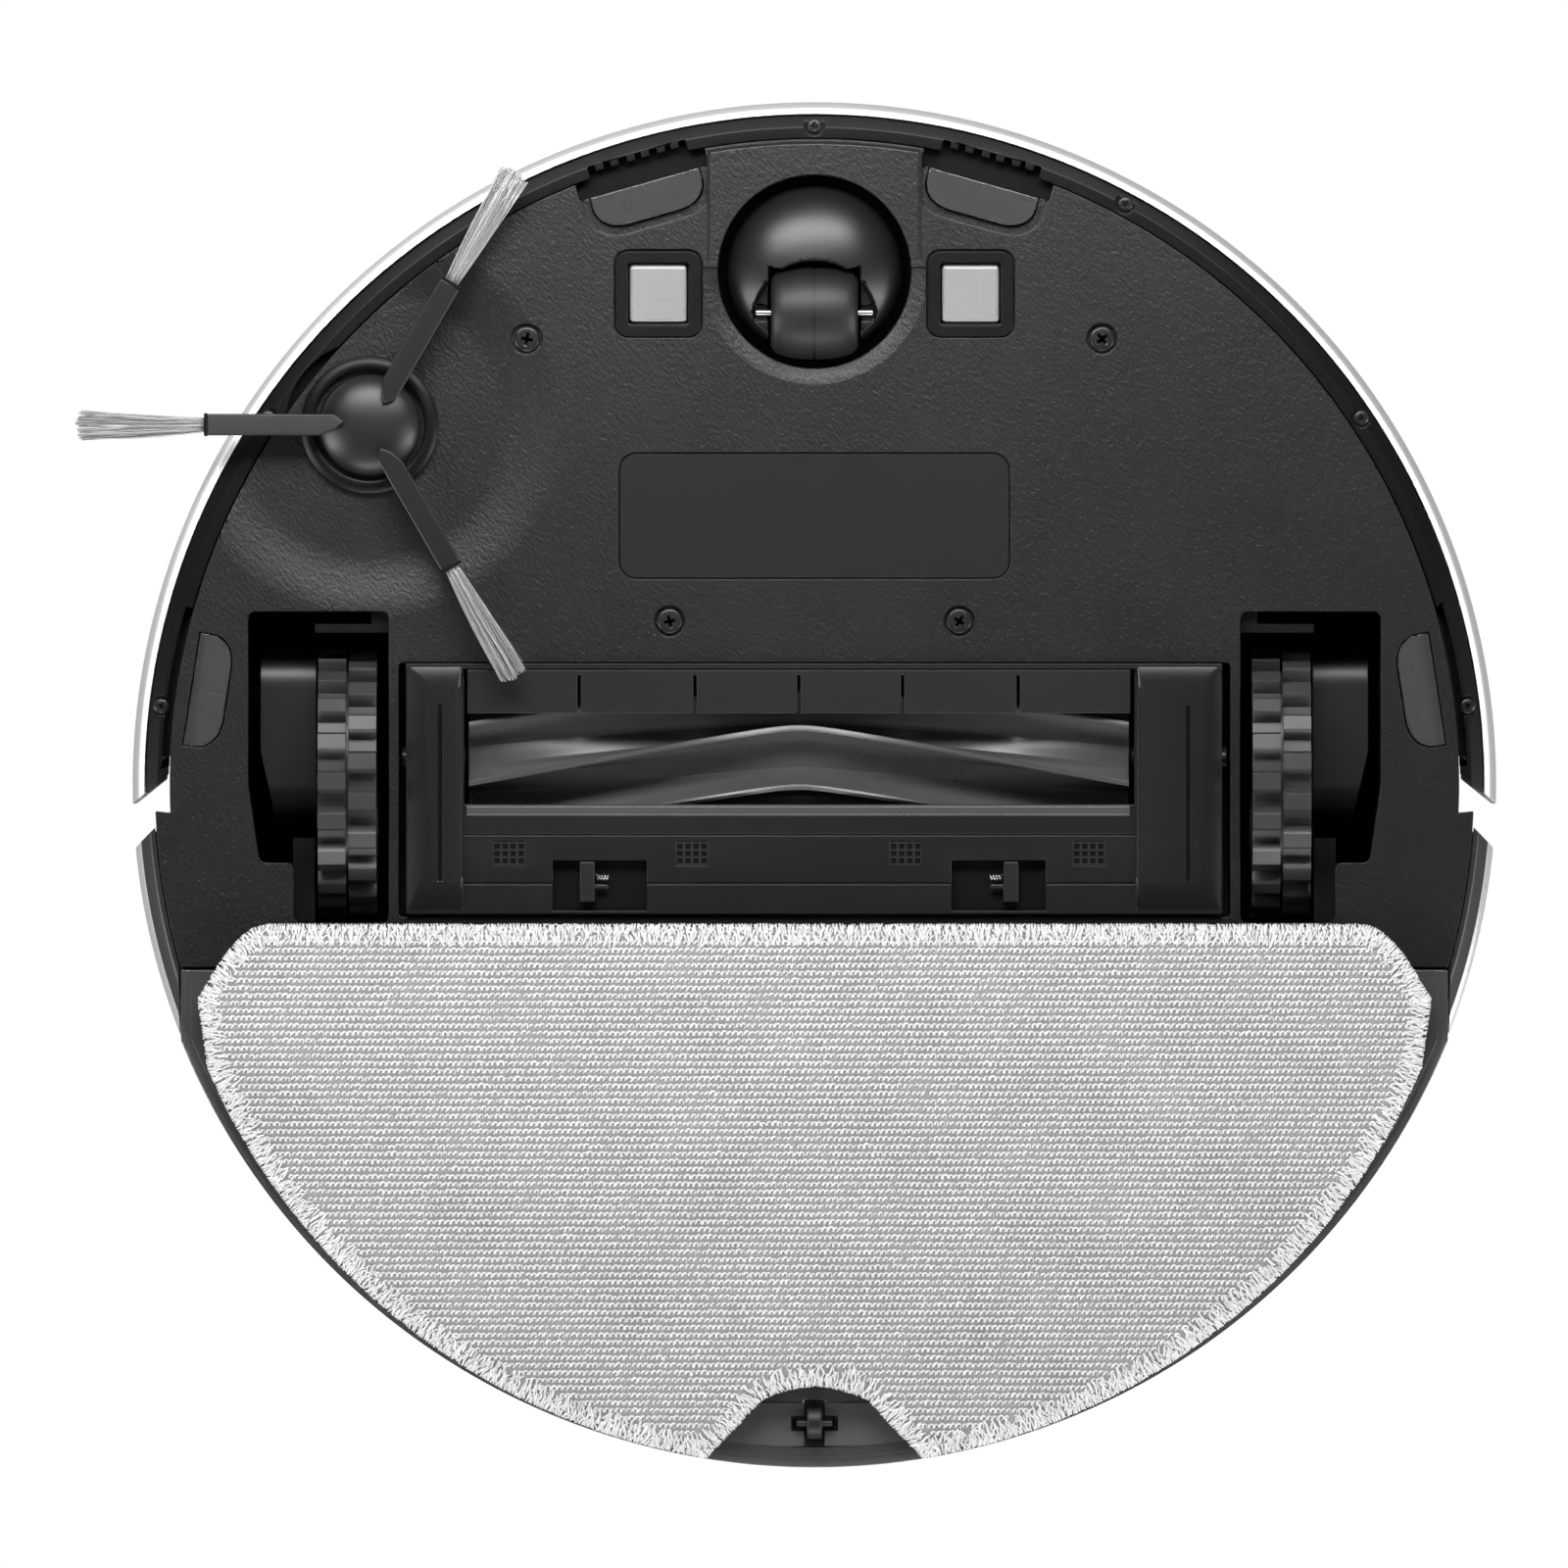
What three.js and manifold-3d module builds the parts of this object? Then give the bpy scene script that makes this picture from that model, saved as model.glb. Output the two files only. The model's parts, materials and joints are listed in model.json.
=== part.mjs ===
// A robot vacuum with a mopping module, standing on its wheels.
// Millimetres, +Z up, +Y forward, +X to the robot's right.
// The origin is on the floor, under the centre of the round body.
import * as THREE from 'three';
import { mergeVertices } from 'three/addons/utils/BufferGeometryUtils.js';
import Module from 'manifold-3d';

const wasm = await Module();
wasm.setup();

// ---------------------------------------------------------------- sizes
const SIDES = [['right', 1], ['left', -1]];
const GAP = 0.3; // between pieces that touch
const RUN = 0.6; // between pieces that run past each other
const REACH = 400; // longer than anything that is cut
const ROUND = 72; // facets round the body

// Round body
const BODY_R = 175; // outside of the disc
const BODY_TOP = 80; // top of the deck
const CLEARANCE = 10; // floor to the underside of the base plate
const PLATE_T = 2.4; // wall of the base plate
const PLATE_TOP = CLEARANCE + PLATE_T;
const FRONT_PLATE_R = BODY_R - 9.8; // base plate inside the bumper
const REAR_PLATE_R = BODY_R - 6; // base plate behind the notch
const TRAY_R = FRONT_PLATE_R - 5.2; // chassis tray, clear of the pressed bumper
const TRAY_T = 2; // wall of the chassis tray
const TRAY_BOTTOM = PLATE_TOP + GAP;
const TRAY_FLOOR = TRAY_BOTTOM + TRAY_T;
const COVER_T = 4; // thickness of the deck
const COVER_BOTTOM = BODY_TOP - COVER_T;

// Notch between the bumper and the rear shell
const NOTCH_FRONT = 2.6; // Y of the bumper's inner end
const NOTCH_BACK = -7.4; // Y where the rear body starts
const BUMPER_SLOPE = 0.817; // slant of the bumper's ends, Y over X
const POST_W = 8; // chassis wall inside the notch

// Bumper and rear shell
const SHELL_T = 2.3;
const LIP_Z = 14; // bottom lip of bumper and shell
const BULGE_Z = 26; // height where the wall reaches its full radius
const SHOULDER_Z = BODY_TOP - 14; // height where the wall starts to turn in
const LIP_IN = 3.3; // bottom lip, inward from the outside
const ROLL_IN = 8; // top edge, inward from the outside
const LINER_T = 1.5;
const LINER_FLAT = 2.8; // width of the liner's flat inner edge

// Brush bay and its guard
const BAY_HALF = 106.5;
const BAY_FRONT = 31.1;
const BAY_BACK = -34.1;
const BAY_END_T = 0.9; // end walls of the brush housing
const BAY_T = 1.2; // other walls of the brush housing
const BAY_HEIGHT = 48.5; // inside height above the floor
const ROLLER_X = 4; // middle of the roller
const ROLLER_Y = 6.5;
const ROLLER_R = 18;
const ROLLER_HALF = BAY_HALF - 21.5; // half the length of the finned part
const CORE_R = 7.5;
const JOURNAL_R = 3;
const FIN_COUNT = 7;
const FIN_T = 1.6;
const FIN_TWIST = 0.84; // radians from the middle to each end
const FIN_PHASE = -0.206; // radians
const GUARD_Z = 8.4; // underside of the guard
const ROLLER_Z = GUARD_Z + ROLLER_R - 0.9; // the fins reach a little below the guard
const GUARD_T = 2.4;
const GUARD_TOP = GUARD_Z + GUARD_T;
const GUARD_BACK = BAY_BACK + 0.8;
const LIP_BAR_Y = -5.3; // front of the bar behind the roller
const FLAP_Z = GUARD_Z + 0.4;
const FLAP_T = 1.4;
const FIN_TO_FLAP = 1.2;
// free edge of the front flaps, clear of the turning fins
const FLAP_BACK = ROLLER_Y + Math.sqrt((ROLLER_R + FIN_TO_FLAP) ** 2 - (ROLLER_Z - FLAP_Z - FLAP_T) ** 2);
const FLAP_SPLITS = [0.662, 0.313, 0, -0.313, -0.661]; // shares of half the roller's length
const MESHES = [0.873, 0.322, -0.322, -0.874]; // the same, for the guard's small mesh windows
const MESH = { w: 8.3, y0: -21, y1: -14.5, depth: 0.8 };
const BLOCK_TOP = ROLLER_Z - 4.5; // top of the guard's end blocks
const BLOCK_FRONT = 27.1;
const BLOCK_T = 1.5; // walls of the end blocks
// name, place as a share of half the roller's length, way it presses
const LATCHES = [['right', 0.6, -1], ['left', -0.602, 1]];
const LATCH_POCKET_W = 24.2;
const LATCH_POCKET_D = 13;
const LATCH_BACK = GUARD_BACK + 0.8; // rear wall of the latch pockets
const LATCH_T = 1.5;
const LATCH_TAB = { w: 3.6, offset: 3, start: 2, end: 10.5 };

// Drive wheels
const WELL_T = 1.4; // walls of the wheel housings
const WELL_IN = BAY_HALF + BAY_END_T + GAP + WELL_T;
const WELL_W = 36;
const WELL_OUT = WELL_IN + WELL_W;
const WELL_FRONT = 44.2;
const WELL_TOP = 72;
const WHEEL_R = 35;
const WHEEL_W = 15;
const WHEEL_X = WELL_IN + 3.1 + WHEEL_W / 2;
const TYRE_T = 9;
const LUG_H = 3.4;
const LUG_COUNT = 21;
// shares of one lug's pitch, and radii
const LUG_PROFILE = [[0, WHEEL_R - LUG_H], [0.1, WHEEL_R], [0.56, WHEEL_R], [0.66, WHEEL_R - LUG_H]];
const HUB_W = 13;
const AXLE_R = 3;
const ARM_IN = WHEEL_X + WHEEL_W / 2 + RUN;
const ARM_W = 14.4;
const PIVOT = { y: 24, z: WHEEL_R + 3 };
const PIVOT_R = 13.4;
const PIN_R = 2.4;
const PIN_START = 10.5; // inner end of the pivot pin, from the arm's inner face
const DRIVE_MOTOR = { y: 8, z: WHEEL_R + 19, r: 10.2, length: 7 };
const FENDER = { w: 18.9, front: 5.4, back: 3.2, top: 18 }; // rib ahead of the wheel, from the well's front
const BLOCK = { w: 4.4, d: 4.8, top: 24 }; // block in the well's front inner corner
const BRACKET = { x: 18.9, w: 5.6, front: -13.8, top: 20 }; // ribbed bracket behind the arm

// Front swivel castor
const CASTOR_Y = FRONT_PLATE_R - 33.9;
const CASTOR_POCKET_R = 24.8;
const DOME_R = CASTOR_POCKET_R - 2.2;
const DOME_Z = 5; // lowest point of the dome
const DOME_TOP = 30;
const CASTOR_TRAIL = 10.5;
const CASTOR_R = 12;
const CASTOR_MOUTH_R = DOME_R - 6.3;
const CASTOR_W = 2 * CASTOR_MOUTH_R - 10.3;
const CASTOR_PIN_R = 0.8;
const CASTOR_PIN_HALF = CASTOR_W / 2 + 3.85;
const STEM_R = 4;
const STEM_TOP = 36.4;
const CUP_TOP = DOME_TOP + 4.7;

// Things set into the base plate
const CONTACT = { x: 40, y: FRONT_PLATE_R - 39.6, size: 14.6, frame: 22.6, corner: 3.5, depth: 1.1 };
const LABEL = { y: 68.7, w: 100.2, h: 32.4, corner: 4.5, depth: 1 };
const LENS_W = 28.8;
const LENS_H = 9;
const LENSES = [
  ['front_right', 15.8, 5.2],
  ['front_left', -15.8, 5.2],
  ['side_right', 81.3, 3.9],
  ['side_left', -81.3, 3.9],
]; // name, bearing from straight ahead in degrees, distance inside the plate's edge
const SCREWS = [[73.7, 114], [-73.7, 114], [37.1, 41.7], [-37.1, 41.7]];
const SCREW = { head: 3.3, sink: 4, depth: 1.5, shank: 1.5, length: 11 };

// Side brush
const SIDE_BRUSH = { r: FRONT_PLATE_R - 18.7, bearing: 51.1 };
const DISH_R = 50;
const DISH_FLOOR_R = 35;
const DISH_DEPTH = 1.2;
const SWEEP_NOTCH_R = 21.5; // cut in the bumper's liner beside the hub
const SWEEP_HUB_R = 13;
const SWEEP_Z = 4.2; // lowest point of the hub
const SWEEP_ARM_W = 5.5;
const SWEEP_ARM_R = 41;
const SWEEP_TIP_R = 75;
const TUFT_W = [2.2, 7.4]; // width at the ferrule and at the tip
const TUFT_Z = [3.9, 5.9]; // underside and top at the ferrule
const TUFT_TIP_Z = [0.8, 2.8]; // the same at the tip
const SWEEP_SHAFT_R = 2.2;
const SWEEP_MOTOR = { r: 10, bottom: 16.2, top: 46 };

// Water tank and mop
const TANK_FRONT = BAY_BACK - BAY_T - GAP - PLATE_T - RUN;
const TANK_BOTTOM = 6.3;
const TANK_TOP = 24;
const TANK_T = 2.4;
const TANK_FRONT_X = 144;
const EAR_Y = -47.6;
const EAR_INNER_X = 151.2;
const EAR_X = BODY_R - 12.8;
const FILLER_R = 9;
const FILLER_Y = -110;
const BAY_CEILING = TANK_TOP + RUN;
const PAD_T = 3.5;
const PAD_TOP_Y = -35.4;
const PAD_CENTRE_Y = -5.5;
const PAD_R = BODY_R - 5.3;
const PAD_NOTCH_Y = -154.7;
const HOLDER_T = 2.2;
const REAR_ROLLER = { y: -163.7, z: 4.5, r: 3.95, w: 3.9, pin: 9.1, pinR: 0.8, recess: 12 };

// Inside
const BATTERY = { w: 2 * BAY_HALF - 103, y0: 50, y1: 98, z0: 17, z1: 55 };
const BOARD = { w: 120, y0: 58, y1: 112, z: 60, t: 1.6 };
const BRUSH_MOTOR = { r: 12, x0: 1.5 - BAY_HALF, length: 39, y: 48, z: 30, shaft: 6, shaftR: 2 };
const BIN = { w: 144, y0: 43 - BODY_R, y1: -42, top: 72.5, t: 2 };
const SUCTION = { half: 30, z0: 33, z1: 45 }; // slot from the brush bay to the dustbin
const FAN = { x: -104, y: -76, r: 26, top: 58, t: 2, inlet: 10, outlet: 8 };
const IMPELLER = { r: 20, z: 36, disc: 1.5, hub: 5, hubTop: 50, blades: 9, bladeT: 1.4, bladeTop: 48 };
const CHIPS = [[-30, 80, 16], [4, 88, 12], [34, 74, 10]]; // X, Y and side of each

// Deck
const LIDAR_Y = 10;
const TURRET_R = 38;
const TURRET_TOP = BODY_TOP + 17.5;
const ROTOR_R = 30;
const ROTOR_SHAFT_R = 3;
const LID = { w: 160, y0: 38 - BODY_R, y1: -40, t: 2.6, ledge: 3, hinge: 1.2 };
const BUTTONS = [['power_button', 15], ['home_button', -15]]; // name, X
const BUTTON_Y = 112;
const BUTTON_R = 7;
const BUTTON_TRAVEL = 1;

// ------------------------------------------------------------- geometry
// The closed solid of a geometry.
function solidOf(geometry) {
  const bare = geometry.clone();
  bare.deleteAttribute('normal');
  bare.deleteAttribute('uv');
  const merged = mergeVertices(bare);
  const mesh = new wasm.Mesh({
    numProp: 3,
    vertProperties: Float32Array.from(merged.attributes.position.array),
    triVerts: Uint32Array.from(merged.index.array),
  });
  return new wasm.Manifold(mesh);
}

// The geometry of a closed solid.
function geometryOf(solid) {
  const mesh = solid.getMesh();
  const geometry = new THREE.BufferGeometry();
  geometry.setAttribute('position', new THREE.BufferAttribute(Float32Array.from(mesh.vertProperties), 3));
  geometry.setIndex(new THREE.BufferAttribute(Uint32Array.from(mesh.triVerts), 1));
  return geometry;
}

function join(first, ...others) {
  return geometryOf(others.reduce((whole, next) => whole.add(solidOf(next)), solidOf(first)));
}

function cut(base, ...tools) {
  return geometryOf(tools.reduce((whole, next) => whole.subtract(solidOf(next)), solidOf(base)));
}

function common(base, ...others) {
  return geometryOf(others.reduce((whole, next) => whole.intersect(solidOf(next)), solidOf(base)));
}

function box(x0, x1, y0, y1, z0, z1) {
  const geometry = new THREE.BoxGeometry(Math.abs(x1 - x0), Math.abs(y1 - y0), Math.abs(z1 - z0));
  return geometry.translate((x0 + x1) / 2, (y0 + y1) / 2, (z0 + z1) / 2);
}

// An upright cylinder.
function disc(r, z0, z1, x = 0, y = 0, segments = 36) {
  const geometry = new THREE.CylinderGeometry(r, r, z1 - z0, segments);
  return geometry.rotateX(Math.PI / 2).translate(x, y, (z0 + z1) / 2);
}

// A cylinder along X.
function rod(r, x0, x1, y = 0, z = 0, segments = 32) {
  const geometry = new THREE.CylinderGeometry(r, r, Math.abs(x1 - x0), segments);
  return geometry.rotateZ(Math.PI / 2).translate((x0 + x1) / 2, y, z);
}

// A plan outline, drawn in X and Y and carried up from z0 to z1.
function prism(shape, z0, z1, curveSegments = 12) {
  const settings = { depth: z1 - z0, bevelEnabled: false, curveSegments };
  return new THREE.ExtrudeGeometry(shape, settings).translate(0, 0, z0);
}

// A side outline, drawn in Y and Z and carried along X.
function sidewaysPrism(shape, x0, x1, curveSegments = 12, steps = 1) {
  const settings = { depth: Math.abs(x1 - x0), bevelEnabled: false, curveSegments, steps };
  const turn = new THREE.Matrix4().makeBasis(
    new THREE.Vector3(0, 1, 0),
    new THREE.Vector3(0, 0, 1),
    new THREE.Vector3(1, 0, 0),
  );
  return new THREE.ExtrudeGeometry(shape, settings).applyMatrix4(turn).translate(Math.min(x0, x1), 0, 0);
}

// A turned solid about Z, from a profile of [radius, height] pairs that runs upward on its outside.
function turned(profile, segments = 36) {
  const points = profile.map(([r, z]) => new THREE.Vector2(r, z));
  return new THREE.LatheGeometry(points, segments).rotateX(Math.PI / 2);
}

// The same for a ring whose profile closes on itself.
function turnedRing(profile, segments = ROUND) {
  return turned([...profile, profile[0]], segments);
}

function polygon(points) {
  return new THREE.Shape(points.map(([x, y]) => new THREE.Vector2(x, y)));
}

function roundedRectangle(w, h, r, x = 0, y = 0) {
  const shape = new THREE.Shape();
  shape.moveTo(x - w / 2 + r, y - h / 2);
  shape.lineTo(x + w / 2 - r, y - h / 2);
  shape.absarc(x + w / 2 - r, y - h / 2 + r, r, -Math.PI / 2, 0);
  shape.lineTo(x + w / 2, y + h / 2 - r);
  shape.absarc(x + w / 2 - r, y + h / 2 - r, r, 0, Math.PI / 2);
  shape.lineTo(x - w / 2 + r, y + h / 2);
  shape.absarc(x - w / 2 + r, y + h / 2 - r, r, Math.PI / 2, Math.PI);
  shape.lineTo(x - w / 2, y - h / 2 + r);
  shape.absarc(x - w / 2 + r, y - h / 2 + r, r, Math.PI, 1.5 * Math.PI);
  return shape;
}

// The outline of a band drawn tight round circles of [x, y, radius].
function beltOutline(circles, segments = 40) {
  const points = circles.flatMap(([x, y, r]) => Array.from({ length: segments }, (_, i) => {
    const angle = (2 * Math.PI * i) / segments;
    return [x + r * Math.cos(angle), y + r * Math.sin(angle)];
  }));
  points.sort((a, b) => a[0] - b[0] || a[1] - b[1]);
  const turn = (o, a, b) => (a[0] - o[0]) * (b[1] - o[1]) - (a[1] - o[1]) * (b[0] - o[0]);
  const half = (list) => {
    const chain = [];
    for (const point of list) {
      while (chain.length > 1 && turn(chain.at(-2), chain.at(-1), point) <= 0) {
        chain.pop();
      }
      chain.push(point);
    }
    return chain.slice(0, -1);
  };
  return polygon([...half(points), ...half([...points].reverse())]);
}

// A place at radius r, at a bearing in degrees from straight ahead towards the right.
function bearing(r, degrees) {
  const angle = THREE.MathUtils.degToRad(degrees);
  return [r * Math.sin(angle), r * Math.cos(angle)];
}

// A geometry drawn with +Y outward, moved out to a bearing.
function carriedOut(geometry, r, degrees) {
  return geometry.translate(0, r, 0).rotateZ(-THREE.MathUtils.degToRad(degrees));
}

// ------------------------------------------------------------- assembly
const robot = new THREE.Group();

function finish(color, roughness, metalness = 0) {
  return { color, roughness, metalness };
}

const GRAINED = finish(0x1c1c1e, 0.62);
const SMOOTH_BLACK = finish(0x151516, 0.42);
const WHITE = finish(0xf4f4f4, 0.3);
const DARK_GREY = finish(0x303032, 0.45);
const RUBBER = finish(0x1a1a1a, 0.7);
const STEEL = finish(0xc8c8cc, 0.3, 1);
const SMOKE = finish(0x4a4a4c, 0.15);
const CLOTH = finish(0xd2d2d2, 0.95);
const BRISTLE = finish(0xb4b4b8, 0.6);
const INNER = finish(0x3c4048, 0.6);

function piece(name, geometry, look, parent = robot) {
  const mesh = new THREE.Mesh(geometry, new THREE.MeshStandardMaterial(look));
  mesh.name = name;
  parent.add(mesh);
}

// ------------------------------------------------- shared plan outlines
// The bay that the tank fills, wider by grow; it runs out past the back of the body.
function tankPlan(grow) {
  const half = [
    [TANK_FRONT_X + 0.6 * grow, TANK_FRONT + grow],
    [EAR_INNER_X + 0.8 * grow, EAR_Y + grow],
    [EAR_X + grow, EAR_Y + grow],
    [EAR_X + grow, -REACH],
  ];
  return polygon([...half, ...half.map(([x, y]) => [-x, y]).reverse()]);
}

// A wheel's well in the base plate, wider by grow.
function wellPlan(side, grow) {
  const back = TANK_FRONT + RUN + PLATE_T - grow;
  const stepX = WELL_OUT - 11.7 + grow;
  return polygon([
    [side * (WELL_IN - grow), WELL_FRONT + grow],
    [side * (WELL_OUT + grow), WELL_FRONT + grow],
    [side * (WELL_OUT + grow), 0],
    [side * (WELL_OUT - 2.9 + grow), -20.2 - grow],
    [side * stepX, -20.2 - grow],
    [side * stepX, back],
    [side * (WELL_IN - grow), back],
  ]);
}

// Everything ahead of the bumper's slanted ends.
function bumperZone() {
  const innerX = FRONT_PLATE_R - 1.8;
  const innerY = NOTCH_FRONT + 2 * BUMPER_SLOPE;
  const endY = innerY - (REACH - innerX) * BUMPER_SLOPE;
  const half = [[innerX, innerY], [REACH, endY], [REACH, REACH]];
  return prism(polygon([...half, ...half.map(([x, y]) => [-x, y]).reverse()]), -REACH, REACH);
}

// Everything behind the rear body's slanted front ends.
function rearZone() {
  const inset = 0.5;
  const half = [
    [FRONT_PLATE_R - inset, NOTCH_BACK + inset],
    [FRONT_PLATE_R + REACH, NOTCH_BACK - REACH],
  ];
  return prism(polygon([...half, ...half.map(([x, y]) => [-x, y]).reverse()]), -REACH, REACH);
}

// A cliff lens, drawn with its straight edge at Y 0 and its bulge behind.
function lensOutline(grow) {
  const w = LENS_W / 2 + grow;
  const back = -LENS_H - grow;
  const shape = new THREE.Shape();
  shape.moveTo(w, grow);
  shape.lineTo(-w, grow);
  shape.lineTo(-w, 0.3 * back);
  shape.bezierCurveTo(-w, 0.75 * back, -0.75 * w, back, -0.45 * w, back);
  shape.lineTo(0.45 * w, back);
  shape.bezierCurveTo(0.75 * w, back, w, 0.75 * back, w, 0.3 * back);
  return shape;
}

function lensPrisms(grow, z0, z1) {
  return LENSES.map(([, degrees, inset]) => (
    carriedOut(prism(lensOutline(grow), z0, z1, 5), FRONT_PLATE_R - inset, degrees)
  ));
}

// -------------------------------------------------------- fixed casings
function basePlate() {
  const whole = disc(REAR_PLATE_R, CLEARANCE, PLATE_TOP, 0, 0, ROUND);
  const front = common(
    disc(FRONT_PLATE_R, CLEARANCE, PLATE_TOP, 0, 0, ROUND),
    box(-REACH, REACH, NOTCH_BACK - 4, REACH, 0, BODY_TOP),
  );
  const bayWall = common(
    prism(tankPlan(RUN + PLATE_T), CLEARANCE, BAY_CEILING + PLATE_T),
    disc(REAR_PLATE_R, 0, BODY_TOP, 0, 0, ROUND),
    box(-REACH, REACH, -REACH, TANK_FRONT + RUN + PLATE_T, 0, BODY_TOP),
  );
  const [hubX, hubY] = bearing(SIDE_BRUSH.r, SIDE_BRUSH.bearing);
  const dish = turned([
    [0, 0],
    [DISH_R, 0],
    [DISH_R, CLEARANCE],
    [DISH_R - 3, CLEARANCE + 0.15 * DISH_DEPTH],
    [DISH_R - 7, CLEARANCE + 0.5 * DISH_DEPTH],
    [DISH_R - 11, CLEARANCE + 0.85 * DISH_DEPTH],
    [DISH_FLOOR_R, CLEARANCE + DISH_DEPTH],
    [0, CLEARANCE + DISH_DEPTH],
  ]).translate(hubX, hubY, 0);
  const crescent = turned([
    [0, 0],
    [CASTOR_POCKET_R + 4.8, 0],
    [CASTOR_POCKET_R + 4.8, CLEARANCE],
    [CASTOR_POCKET_R - 2, CLEARANCE + 1.5],
    [0, CLEARANCE + 1.5],
  ], 30).translate(0, CASTOR_Y, 0);
  const bodyBehind = common(whole, rearZone());
  const label = roundedRectangle(LABEL.w, LABEL.h, LABEL.corner, 0, LABEL.y);
  const cuts = [
    dish,
    disc(SWEEP_SHAFT_R + RUN, 0, BODY_TOP, hubX, hubY, 24),
    common(crescent, box(-REACH, REACH, -REACH, CASTOR_Y + 1, 0, BODY_TOP)),
    disc(CASTOR_POCKET_R, 0, BODY_TOP, 0, CASTOR_Y),
    box(-BAY_HALF, BAY_HALF, BAY_BACK, BAY_FRONT, 0, BODY_TOP),
    prism(tankPlan(RUN), 0, BAY_CEILING),
    prism(label, 0, CLEARANCE + LABEL.depth, 4),
    ...lensPrisms(GAP, 0, BODY_TOP),
    ...lensPrisms(2.4, 0, CLEARANCE + 0.8).slice(0, 2),
  ];
  for (const [, degrees, inset] of LENSES.slice(0, 2)) {
    const slot = box(-LENS_W / 2 - 2.8, LENS_W / 2 + 2.8, 0.1, REACH, 0, BODY_TOP);
    cuts.push(carriedOut(slot, FRONT_PLATE_R - inset, degrees));
  }
  for (const [, side] of SIDES) {
    const x = side * CONTACT.x;
    const frame = roundedRectangle(CONTACT.frame, CONTACT.frame, CONTACT.corner, x, CONTACT.y);
    const hole = CONTACT.size / 2 + GAP;
    cuts.push(prism(wellPlan(side, 0), 0, BODY_TOP));
    cuts.push(rod(WHEEL_R + 1.4, side * WELL_IN, side * (ARM_IN + 1), 0, WHEEL_R, 64));
    cuts.push(prism(frame, 0, CLEARANCE + CONTACT.depth, 4));
    cuts.push(box(x - hole, x + hole, CONTACT.y - hole, CONTACT.y + hole, 0, BODY_TOP));
  }
  for (const [x, y] of SCREWS) {
    cuts.push(disc(SCREW.sink, 0, CLEARANCE + SCREW.depth, x, y, 32));
    cuts.push(disc(SCREW.shank + GAP, 0, BODY_TOP, x, y, 16));
  }
  return cut(join(front, bodyBehind, bayWall), ...cuts);
}

// The tub that carries everything inside, with the castor's cup and the walls seen in the notches.
function chassisTray() {
  const backEdge = TANK_FRONT + RUN + PLATE_T + GAP;
  const ring = cut(
    disc(TRAY_R, TRAY_BOTTOM, COVER_BOTTOM - GAP, 0, 0, ROUND),
    disc(TRAY_R - TRAY_T, 0, BODY_TOP, 0, 0, ROUND),
  );
  const rearFloorZ = BAY_CEILING + PLATE_T + GAP;
  const floor = disc(TRAY_R - 1, TRAY_BOTTOM, TRAY_FLOOR, 0, 0, ROUND);
  const rearFloor = common(
    disc(TRAY_R - 1, rearFloorZ, rearFloorZ + TRAY_T, 0, 0, ROUND),
    box(-REACH, REACH, -REACH, backEdge, 0, BODY_TOP),
  );
  const riser = common(
    box(-REACH, REACH, backEdge, backEdge + TRAY_T, TRAY_BOTTOM, rearFloorZ + TRAY_T),
    disc(TRAY_R - 1, 0, BODY_TOP, 0, 0, ROUND),
  );
  const posts = SIDES.map(([, side]) => box(
    side * (FRONT_PLATE_R - 0.3), side * (FRONT_PLATE_R - POST_W),
    NOTCH_BACK - 5, NOTCH_FRONT, TRAY_BOTTOM, COVER_BOTTOM - GAP,
  ));
  const bosses = SCREWS.map(([x, y]) => disc(4, TRAY_BOTTOM, TRAY_FLOOR + 9, x, y, 12));
  const cup = disc(CASTOR_POCKET_R + TRAY_T, TRAY_BOTTOM, CUP_TOP + TRAY_T, 0, CASTOR_Y, 24);
  const [hubX, hubY] = bearing(SIDE_BRUSH.r, SIDE_BRUSH.bearing);
  const cuts = [
    disc(CASTOR_POCKET_R, 0, CUP_TOP, 0, CASTOR_Y, 24),
    disc(SWEEP_MOTOR.r + GAP, 0, BODY_TOP, hubX, hubY, 32),
    disc(STEM_R + 0.4, 0, BODY_TOP, 0, CASTOR_Y, 16),
    prism(tankPlan(RUN + PLATE_T + GAP), 0, rearFloorZ),
    box(-BAY_HALF - 3, BAY_HALF + 3, BAY_BACK - BAY_T - GAP, BAY_FRONT + BAY_T + GAP, 0, BAY_HEIGHT + 3),
    ...LENSES.map(([, degrees, inset]) => {
      const room = box(-LENS_W / 2 - RUN, LENS_W / 2 + RUN, -LENS_H - RUN, RUN, 0, TRAY_FLOOR + 3);
      return carriedOut(room, FRONT_PLATE_R - inset, degrees);
    }),
    ...SCREWS.map(([x, y]) => disc(SCREW.shank + GAP, 0, TRAY_FLOOR + 8, x, y, 10)),
  ];
  for (const [, side] of SIDES) {
    const x = side * CONTACT.x;
    const hole = CONTACT.size / 2 + 1;
    cuts.push(prism(wellPlan(side, WELL_T + GAP), 0, BODY_TOP));
    cuts.push(box(x - hole, x + hole, CONTACT.y - hole, CONTACT.y + hole, 0, TRAY_FLOOR + 1));
  }
  return cut(join(ring, floor, rearFloor, riser, ...posts, ...bosses, cup), ...cuts);
}

// The outer wall's profile, shared by the bumper and the rear shell.
function wallProfile(lipZ) {
  const out = BODY_R;
  const top = COVER_BOTTOM - GAP;
  return [
    [out - LIP_IN, lipZ],
    [out - 1.8, lipZ],
    [out - 0.8, lipZ + 2.4],
    [out, BULGE_Z],
    [out, SHOULDER_Z],
    [out - 1.2, top - 4],
    [out - 5.6, top],
    [out - ROLL_IN, top],
    [out - ROLL_IN, top - 1.7],
    [out - 5, top - 2.6],
    [out - SHELL_T, SHOULDER_Z],
    [out - SHELL_T, lipZ + 3],
    [out - LIP_IN, lipZ + 1.6],
  ];
}

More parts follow.
